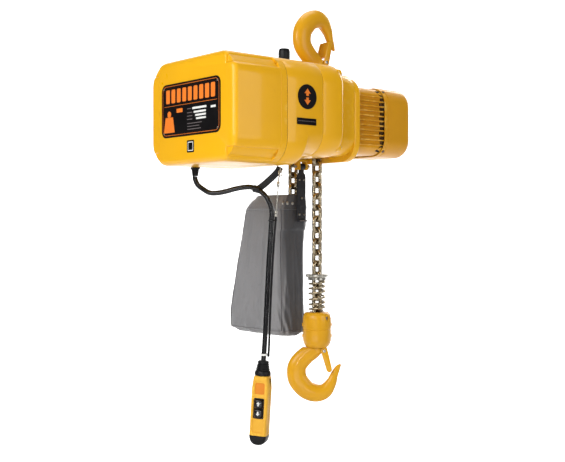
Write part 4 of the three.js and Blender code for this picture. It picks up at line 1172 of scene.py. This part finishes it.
tongue = extruded([(BAG_PIN[0] + 0.009 * math.cos(a), BAG_PIN[2] + 0.009 * math.sin(a))
                   for a in np.linspace(0, math.pi, 18)]
                  + [(-0.004, -0.372), (-0.0035, -0.384), (-0.0085, -0.390), (-0.0098, -0.396),
                     (-0.0098, -0.519),
                     (0.0198, -0.519), (0.0198, -0.396), (0.0185, -0.390), (0.0135, -0.384), (0.014, -0.372)],
                  in_xz, 0.0020)
lip = brick((-0.0098, 0.0198), (0.0605, 0.0720), (-0.519, -0.5145))
barrel = turned([(0.0045, -0.0088), (0.0085, -0.0088), (0.0088, -0.008), (0.0088, 0.008), (0.0085, 0.0088),
                 (0.0045, 0.0088)], BAG_PIN, (1, 0, 0), 36, closed=True)
hanger = piece("hanger_plate", *join(tongue, lip, barrel), "strap_grey", stands_for=["bag_hanger"])
rounded(hanger, 0.0007, 2)
lip_strip = piece("hanger_lip", *brick((-0.0085, 0.0185), (0.0598, 0.0612), (-0.5182, -0.5153)), "label_grey",
                  slot="strap_grey")
rounded(lip_strip, 0.0004, 2)
for k, (x, z) in enumerate([(-0.003, -0.405), (0.013, -0.405), (-0.003, -0.500), (0.013, -0.500),
                            (0.005, -0.455)]):
    screw(f"hanger_rivet_{k}", (x, 0.0680, z), (0, -1, 0), 0.0032, 0.0018)

# ---- cable, strain wire and what goes with them ----------------------------------------------
CABLE_ROUTE = MM * np.array([
    [-312, 123, -402.6], [-312, 123, -410], [-308, 117, -425], [-299, 106, -436], [-289, 93, -445],
    [-277, 77, -446], [-262, 58, -442], [-248, 39, -436], [-234, 20, -432], [-222, 4, -432],
                             [-210, -11, -440],
    [-200, -25, -454], [-193, -34, -474], [-190, -38, -493], [-190, -37, -519], [-192, -35, -564],
    [-195, -32, -629], [-198, -28, -726], [-201, -24, -823], [-203, -21, -871.7]])
STRAIN_ROUTE = MM * np.array([
    [-176, -56, -390], [-181, -56, -408], [-184, -56, -436], [-185, -54, -468], [-184, -49, -493],
    [-183, -45, -519], [-185, -42, -564], [-188, -39, -629], [-191, -35, -726], [-193, -32, -823],
    [-194, -30, -862]])


def nearest(path, z):
    """The number of the path's point nearest to a height."""
    return int(np.argmin(abs(path[:, 2] - z)))


gland = turned([(0.0050, -0.3800), (0.0120, -0.3800), (0.0126, -0.3808), (0.0126, -0.3830), (0.0108, -0.3838),
                (0.0098, -0.3852), (0.0096, -0.3870), (0.0086, -0.3876), (0.0094, -0.3884), (0.0091, -0.3904),
                (0.0082, -0.3910), (0.0089, -0.3918), (0.0086, -0.3940), (0.0078, -0.3946), (0.0083, -0.3954),
                (0.0077, -0.3990), (0.0071, -0.4019), (0.0050, -0.4019)], (-0.312, 0.123, 0), sides=48,
               closed=True)
piece("gland_sleeve", *gland, "rubber", stands_for=["cable_gland"], sharp=35)

cable_path = catmull(CABLE_ROUTE, 170)
cable = piece("cable_jacket", *tube(cable_path, 0.0065, 24), "cable_black", slot="rubber",
              stands_for=["pendant_cable"], sharp=60)
wire_path = catmull(STRAIN_ROUTE, 120)
wire = piece("strain_wire_smooth", *tube(wire_path, 0.0015, 12), "bright_steel",
             stands_for=["strain_wire"], sharp=60)


def flat_strap(path, wide_way, half, thick):
    path = np.asarray(path, float)
    tangents = np.gradient(path, axis=0)
    tangents /= np.linalg.norm(tangents, axis=1, keepdims=True)
    rings = []
    for place, along in zip(path, tangents):
        wide = np.asarray(wide_way, float)
        wide = wide - along * np.dot(wide, along)
        wide /= np.linalg.norm(wide)
        out = np.cross(along, wide)
        ring = []
        for k in range(16):
            a = 2 * math.pi * k / 16
            c, s = math.cos(a), math.sin(a)
            ring.append(place + wide * half * math.copysign(abs(c) ** 0.4, c)
                        + out * thick * math.copysign(abs(s) ** 0.7, s))
        rings.append(ring)
    return lofted(rings)


strap_path = catmull(MM * np.array([[-172, -50, -381.5], [-176, -46, -392], [-186, -34, -408],
                                    [-198, -20, -424],
                                    [-209, -9, -436]]), 40)
piece("webbing_strap", *flat_strap(strap_path, ACROSS, 0.0085, 0.0011), "webbing", slot="rubber")
strap_centre, strap_axis = MM * np.array([-213.5, -7, -437]), np.array([0.55, -0.80, -0.25])
loop = turned([(0.0067, -0.0085), (0.0090, -0.0085), (0.0092, -0.0075), (0.0092, 0.0075), (0.0090, 0.0085),
               (0.0067, 0.0085)], strap_centre, strap_axis, 40, closed=True)
strap_loop = piece("webbing_loop", *loop, "webbing", slot="rubber")


def ring_of(centre, radius, normal, thick, squeeze=1.0):
    axis, side, other = frame_of(normal)
    path = [np.asarray(centre) + radius * (math.cos(a) * side * squeeze + math.sin(a) * other)
            for a in np.linspace(0, 2 * math.pi, 40, endpoint=False)]
    return tube(path, thick, 10, closed=True)


hook_ring = piece("snap_ring", *join(ring_of(MM * np.array([-174.5, -54, -386]), 0.0050, ACROSS, 0.0011),
                                     ring_of(MM * np.array([-177, -56.5, -397]), 0.0078, VIEW, 0.0012, 0.55)),
                  "bright_steel", sharp=60)
lower_wire = wire_path[wire_path[:, 2] < -0.498]
wire_sleeve = piece("wire_sleeve", *tube(lower_wire, 0.0029, 14), "rubber", sharp=60)
for k, z in enumerate((-0.424, -0.500)):
    spot = nearest(wire_path, z)
    near = wire_path[spot]
    step = wire_path[spot + 1] - near
    sleeve = turned([(0.0016, -0.0065), (0.0030, -0.0065), (0.0036, -0.0055), (0.0036, 0.0055),
                     (0.0030, 0.0065),
                     (0.0016, 0.0065)], near, step, 24, closed=True)
    piece(f"wire_clip_{k}", *sleeve, "bright_steel", sharp=40)


for k, (z, look) in enumerate([(-0.516, "rubber"), (-0.856, "label_white")]):
    a, b = cable_path[nearest(cable_path, z)], wire_path[nearest(wire_path, z)]
    if look != "rubber":  # the white one goes round the cable alone
        b = a + 0.05 * (b - a)
    middle, reach = (a + b) / 2, np.linalg.norm((a - b)[:2]) / 2
    way = (b - a) * np.array([1, 1, 0])
    way /= np.linalg.norm(way)
    other = np.array([-way[1], way[0], 0])
    tall = 0.0016 if look == "rubber" else 0.0024
    path = []
    for side in (1, -1):  # round the wire, then back round the cable
        size = 0.0026 if side > 0 and look == "rubber" else 0.0073
        for t in np.linspace(-math.pi / 2, math.pi / 2, 14):
            path.append(middle + side * way * (reach + size * math.cos(t))
                        + side * other * size * math.sin(t))
    rings = []
    for p in path:
        out = (p - middle) / np.linalg.norm(p - middle)
        rings.append([p + out * o + UP * h for o, h in ((0, -tall), (0.0009, -tall), (0.0009, tall),
                                                        (0, tall))])
    piece(f"cable_tie_{k}", *lofted(rings, closed=True), look,
                      slot="rubber" if look == "rubber" else "grey_plastic", sharp=50)

# ---- pendant ---------------------------------------------------------------------------------
PENDANT_TOP = MM * np.array([-203, -21, -872])


def about_z(points, degrees):
    a = math.radians(degrees)
    c, s = math.cos(a), math.sin(a)
    return [np.array([c * p[0] - s * p[1], s * p[0] + c * p[1], p[2]]) for p in points]


def about_x(points, degrees):
    a = math.radians(degrees)
    c, s = math.cos(a), math.sin(a)
    return [np.array([p[0], c * p[1] - s * p[2], s * p[1] + c * p[2]]) for p in points]


def hung(body):
    points, faces = body
    points = about_z(about_x(about_z(points, -106.0), 3.2), 49.7)
    return [p + PENDANT_TOP for p in points], faces


def box_ring(half, deep, z, corner=0.007, steps=6, middle=0.0):
    """A round-cornered outline across the pendant, half wide and deep to each side of its middle."""
    corner = min(corner, half * 0.95, deep * 0.95)
    return [np.array([x, middle + y, z]) for x, y in round_corners(half, deep, corner, corner, steps)]


def tapered_end(grow, bottom):
    """The outlines of the case's round lower end, grown a little for the cap over it."""
    rings = []
    for t in np.linspace(0.12, 0.96, 9):
        half = (1 - t) ** 2 * 0.022 + 2 * t * (1 - t) * 0.0195 + t * t * 0.0035 + grow
        rings.append(box_ring(half, 0.020 + grow - 0.006 * t ** 2, (1 - t) ** 2 * 0.022 - bottom))
    return rings


def boot():
    """The ribbed rubber boot, from the cable down to the case."""
    profile = [(0.0072, 0.0004), (0.0118, 0.0003), (0.0138, 0.0014)]
    for k in range(5):
        z, r = 0.0040 + 0.0042 * k, 0.0142 + 0.00085 * k
        profile += [(r, z), (r, z + 0.0020), (r - 0.0012, z + 0.0026), (r - 0.0012, z + 0.0036)]
    profile += [(0.0190, 0.0255), (0.0205, 0.0310), (0.0206, 0.0362), (0.0195, 0.0367), (0.0001, 0.0367)]
    return turned([(r, -z) for r, z in profile], (0, 0, 0))


piece("boot_ribbed", *hung(boot()), "rubber", stands_for=["pendant_boot"], sharp=40)


def pendant_case():
    """The case, from the boot's edge to its round lower end."""
    rings = [box_ring(half, deep, -z) for z, half, deep in
             [(0.0373, 0.0160, 0.0155), (0.0385, 0.0178, 0.0180), (0.0420, 0.0190, 0.0194),
              (0.0670, 0.0219, 0.0199), (0.0700, 0.0220, 0.0200), (0.1880, 0.0220, 0.0200)]]
    return lofted(rings + tapered_end(0, 0.212))


case = piece("pendant_shell", *hung(pendant_case()), "pendant_yellow", stands_for=["pendant_case"], sharp=36)
wells = [brick((-0.011, 0.011), (-0.040, 0.002), (z - 0.011, z + 0.011)) for z in (-0.107, -0.131)]

def on_front(width, height, corner, z, thick, face=-0.0185, edge=0.0005):
    """A round-cornered plate on the pendant's front, its back at the given face."""
    points, faces = rounded_plate(width, height, corner, thick, edge)
    return hung(([np.array([p[0], face - p[2], p[1] + z]) for p in points], faces))


cut(case, on_front(0.0300, 0.1300, 0.0050, -0.1150, 0.006, -0.0182),
    on_front(0.0250, 0.0290, 0.0040, -0.0690, 0.010, -0.0160), *[hung(w) for w in wells])

piece("pendant_top_tone", *on_front(0.0246, 0.0286, 0.0038, -0.0690, 0.0003, -0.0160), "pendant_orange",
      slot="pendant_yellow")
bezel = piece("button_bezel", *on_front(0.0272, 0.0520, 0.0035, -0.1190, 0.0005), "rubber")
cut(bezel, *[hung(w) for w in wells])


rings = [box_ring(0.0220 + grow, 0.0200 + grow, -z)
         for z, grow in [(0.1875, -0.0015), (0.1880, 0.0004), (0.1890, 0.0005)]]
piece("pendant_lower_cap", *hung(lofted(rings + tapered_end(0.0004, 0.2123))), "rubber", sharp=40)
seam = lofted([box_ring(0.0222, 0.0005, -z, 0.0002, 2) for z in (0.044, 0.186)])
piece("pendant_seam", *hung(seam), "dark_gap", slot="rubber")
for k, (x, z) in enumerate([(-0.0125, -0.052), (0.0125, -0.052), (-0.0125, -0.182), (0.0125, -0.182)]):
    place, out = hung(([np.array([x, 0.0200, z]), np.array([x, 1.02, z])], []))[0]
    screw(f"pendant_screw_{k}", place - 0.0006 * (out - place), out - place, 0.0028, 0.0010)

for name, z, way, body in (("up", -0.107, 1, "up_key"), ("down", -0.131, -1, "down_key")):
    rings = []
    for y, half in [(-0.0080, 0.0102), (-0.0225, 0.0102), (-0.0240, 0.0098), (-0.0248, 0.0088)]:
        rings.append([np.array([sx, y, sz + z]) for sx, sz in
                      [(half * math.copysign(abs(math.cos(a)) ** 0.55, math.cos(a)),
                        half * math.copysign(abs(math.sin(a)) ** 0.55, math.sin(a)))
                       for a in np.linspace(0, 2 * math.pi, 40, endpoint=False)]])
    piece(f"{name}_key_cap", *hung(lofted(rings)), "button_black", body=body, slot="rubber",
          stands_for=[f"{name}_button"], sharp=40)
    arrow = [(0, 0.0058 * way), (0.0050, 0.0004 * way), (0.0020, 0.0004 * way), (0.0020, -0.0052 * way),
             (-0.0020, -0.0052 * way), (-0.0020, 0.0004 * way), (-0.0050, 0.0004 * way)]
    body_shape = lofted([[np.array([u, y, v + z]) for u, v in arrow] for y in (-0.0246, -0.0250)])
    piece(f"{name}_arrow", *hung(body_shape), "label_white", body=body, slot="label", sharp=30)

# ---- labels and small fittings ---------------------------------------------------------------
FACE_X = low("name_plate")[0]


def lain(body, y, z, lift):
    """Lays a flat body on the front cover, raised by lift."""
    return set_on(body, (FACE_X + 0.0013 - lift, y, z), (0, -1, 0), (0, 0, 1), (-1, 0, 0))


def on_cover(width, height, corner, y, z, thick, lift=0.0, edge=0.0002):
    return lain(rounded_plate(width, height, corner, thick, edge), y, z, lift)


def frame_on_cover(width, height, corner, y, z, line, lift, thick):
    """A round-cornered frame whose line is given; it uses a plate's back and front outlines."""
    outer, _ = rounded_plate(width, height, corner, thick, 0.0001)
    inner, _ = rounded_plate(width - 2 * line, height - 2 * line, corner - line, thick, 0.0001)
    count = len(outer) // 5
    rings = [inner[:count], outer[:count], outer[count:2 * count], inner[count:2 * count]]
    return lain(lofted(rings, closed=True), y, z, lift)


piece("plate_base", *on_cover(0.246, 0.132, 0.018, 0.001, -0.246, 0.0011), "label", stands_for=["name_plate"])
piece("plate_border", *frame_on_cover(0.236, 0.122, 0.0145, 0.001, -0.246, 0.0010, 0.0009, 0.0004),
      "label_orange",
      slot="label")


def bars(name, rows, look, thick=0.0002):
    bodies = [on_cover(w, h, min(w, h) * 0.2, y, z, thick, 0.0011, 0.00005) for w, h, y, z in rows]
    piece(name, *join(*bodies), look, slot="label")


# a row of plain upright blocks, a plain weight symbol and blank data fields
bars("plate_marks", [(0.0165, 0.034, 0.0955 - 0.0236 * k, -0.2110) for k in range(9)], "label_orange")
weight = [(-0.024, -0.026), (0.024, -0.026), (0.016, 0.012), (-0.016, 0.012)]
knob = circle((0, 0.0190), 0.0082, 28)


def cover_outline(outline, y, z):
    return lofted([[np.array([FACE_X + 0.0013 - lift, y - u, z + v]) for u, v in outline] for lift in (0.0011,
                                                                                                       0.00135)])


piece("plate_weight", *join(cover_outline(weight, 0.090, -0.274), cover_outline(knob, 0.090, -0.274)),
      "label_orange",
      slot="label")
bars("plate_rule", [(0.220, 0.0010, 0.001, -0.2350), (0.026, 0.0100, 0.045, -0.2480)], "label_orange")
bars("plate_fields", [(0.058, 0.0052, -0.038, -0.2475), (0.020, 0.0052, -0.094, -0.2500),
                      (0.050, 0.0046, -0.040, -0.2570),
                      (0.044, 0.0046, -0.043, -0.2650), (0.040, 0.0046, -0.045, -0.2730)], "label_white")
bars("plate_lines", [(0.018, 0.0018, 0.004, -0.2475), (0.022, 0.0018, 0.002, -0.2570),
                     (0.022, 0.0018, 0.002, -0.2650),
                     (0.022, 0.0018, 0.002, -0.2730), (0.060, 0.0016, -0.018, -0.2830),
                     (0.050, 0.0016, -0.013, -0.2900),
                     (0.056, 0.0016, -0.016, -0.2970)], "label_grey")
for k, (y, z) in enumerate([(0.113, -0.191), (-0.111, -0.191), (-0.111, -0.301), (0.113, -0.301)]):
    rivet = turned([(0.0026, 0.0), (0.0025, 0.0005), (0.0014, 0.0009), (0.0001, 0.0010)],
                   (FACE_X + 0.0002, y, z), (-1, 0, 0), 24)
    piece(f"plate_rivet_{k}", *rivet, "bright_steel")

piece("small_mark", *on_cover(0.030, 0.030, 0.003, 0.0, -0.338, 0.0004), "label")
piece("small_mark_lines", *frame_on_cover(0.022, 0.022, 0.002, 0.0, -0.338, 0.0025, 0.0004, 0.0002),
      "label_white",
      slot="label")

NEAR_Y = low("gear_case")[1]


def on_side(width, height, corner, x, z, thick, lift=0.0, edge=0.0002):
    return set_on(rounded_plate(width, height, corner, thick, edge), (x, NEAR_Y - 0.0001 - lift, z),
                  (1, 0, 0), (0, 0, 1), (0, -1, 0))


badge = turned([(0.0300, 0.0), (0.0300, 0.0009), (0.0292, 0.0014), (0.0001, 0.0014)],
               (-0.192, NEAR_Y - 0.0001, -0.218),
               (0, -1, 0), 80)
piece("badge_disc", *badge, "label", stands_for=["side_badge"])
arrows = [[(0, 0.020), (0.010, 0.008), (0.004, 0.008), (0.004, 0.002), (-0.004, 0.002), (-0.004, 0.008),
           (-0.010, 0.008)]]
arrows.append([(-u, -v) for u, v in arrows[0]])
arrow_mark = join(*[lofted([[np.array([-0.192 + u, NEAR_Y - lift, -0.218 + v]) for u, v in outline]
                            for lift in (0.0014, 0.00175)]) for outline in arrows])
piece("badge_mark", *arrow_mark, "label_orange", slot="label")
piece("side_label_plate", *on_side(0.062, 0.016, 0.0012, -0.194, -0.278, 0.0013), "label",
      stands_for=["side_label"])
piece("side_label_line", *join(*[on_side(0.0040, 0.0016, 0.0003, -0.2195 + 0.0057 * k, -0.2772, 0.0002,
                                         0.0013)
                                 for k in range(10)]), "label_grey", slot="label")

cap_profile = [(0.0085, -0.1235), (0.0085, -0.1190), (0.0132, -0.1190), (0.0132, -0.1110), (0.0118, -0.1100),
               (0.0118, -0.1080), (0.0138, -0.1070), (0.0140, -0.1060), (0.0140, -0.0850), (0.0132, -0.0806),
               (0.0115, -0.0788), (0.0080, -0.0785), (0.0001, -0.0785)]
cap = turned(cap_profile, (-0.150, -0.040, 0), sides=60)
ribs = []
for k in range(22):
    a = 2 * math.pi * k / 22
    rib = turned([(0.0007, -0.1040), (0.0010, -0.1030), (0.0010, -0.0870), (0.0006, -0.0855)],
                 (-0.150 + 0.0136 * math.cos(a), -0.040 + 0.0136 * math.sin(a), 0), sides=8)
    ribs.append(rib)
piece("breather_body", *join(cap, *ribs), "rubber", stands_for=["breather_cap"], sharp=40)

nut = turned([(0.0143, -0.1750), (0.0205, -0.1750), (0.0220, -0.1738), (0.0220, -0.1622), (0.0205, -0.1610),
              (0.0143, -0.1610)], (0, 0, 0), sides=6, closed=True)
piece("top_nut_smooth", *nut, "bright_steel", body="suspension", stands_for=["top_hook_nut"])


def bag_flat():
    """The cut size that gives the bag's own area: once round, and down one side and half the base."""
    area, girths, last = 0.0, [], None
    for z in np.linspace(-0.4452, -0.8367, 90):
        ring = np.array([bag_point(z, a) for a in np.linspace(0, 1, 120, endpoint=False)])
        girths.append(np.linalg.norm(ring - np.roll(ring, 1, axis=0), axis=1).sum())
        if last is not None:
            along, down = np.roll(last, -1, axis=0) - last, ring - last
            far, back = np.roll(ring, -1, axis=0) - np.roll(last, -1, axis=0), ring - np.roll(ring, -1,
                                                                                              axis=0)
            area += 0.5 * np.linalg.norm(np.cross(along, down), axis=1).sum()
            area += 0.5 * np.linalg.norm(np.cross(far, back), axis=1).sum()
        last = ring
    x, y = last[:, 0], last[:, 1]
    area += 0.5 * abs(np.dot(x, np.roll(y, 1)) - np.dot(y, np.roll(x, 1)))
    return max(girths), area / max(girths)


bag_flat()
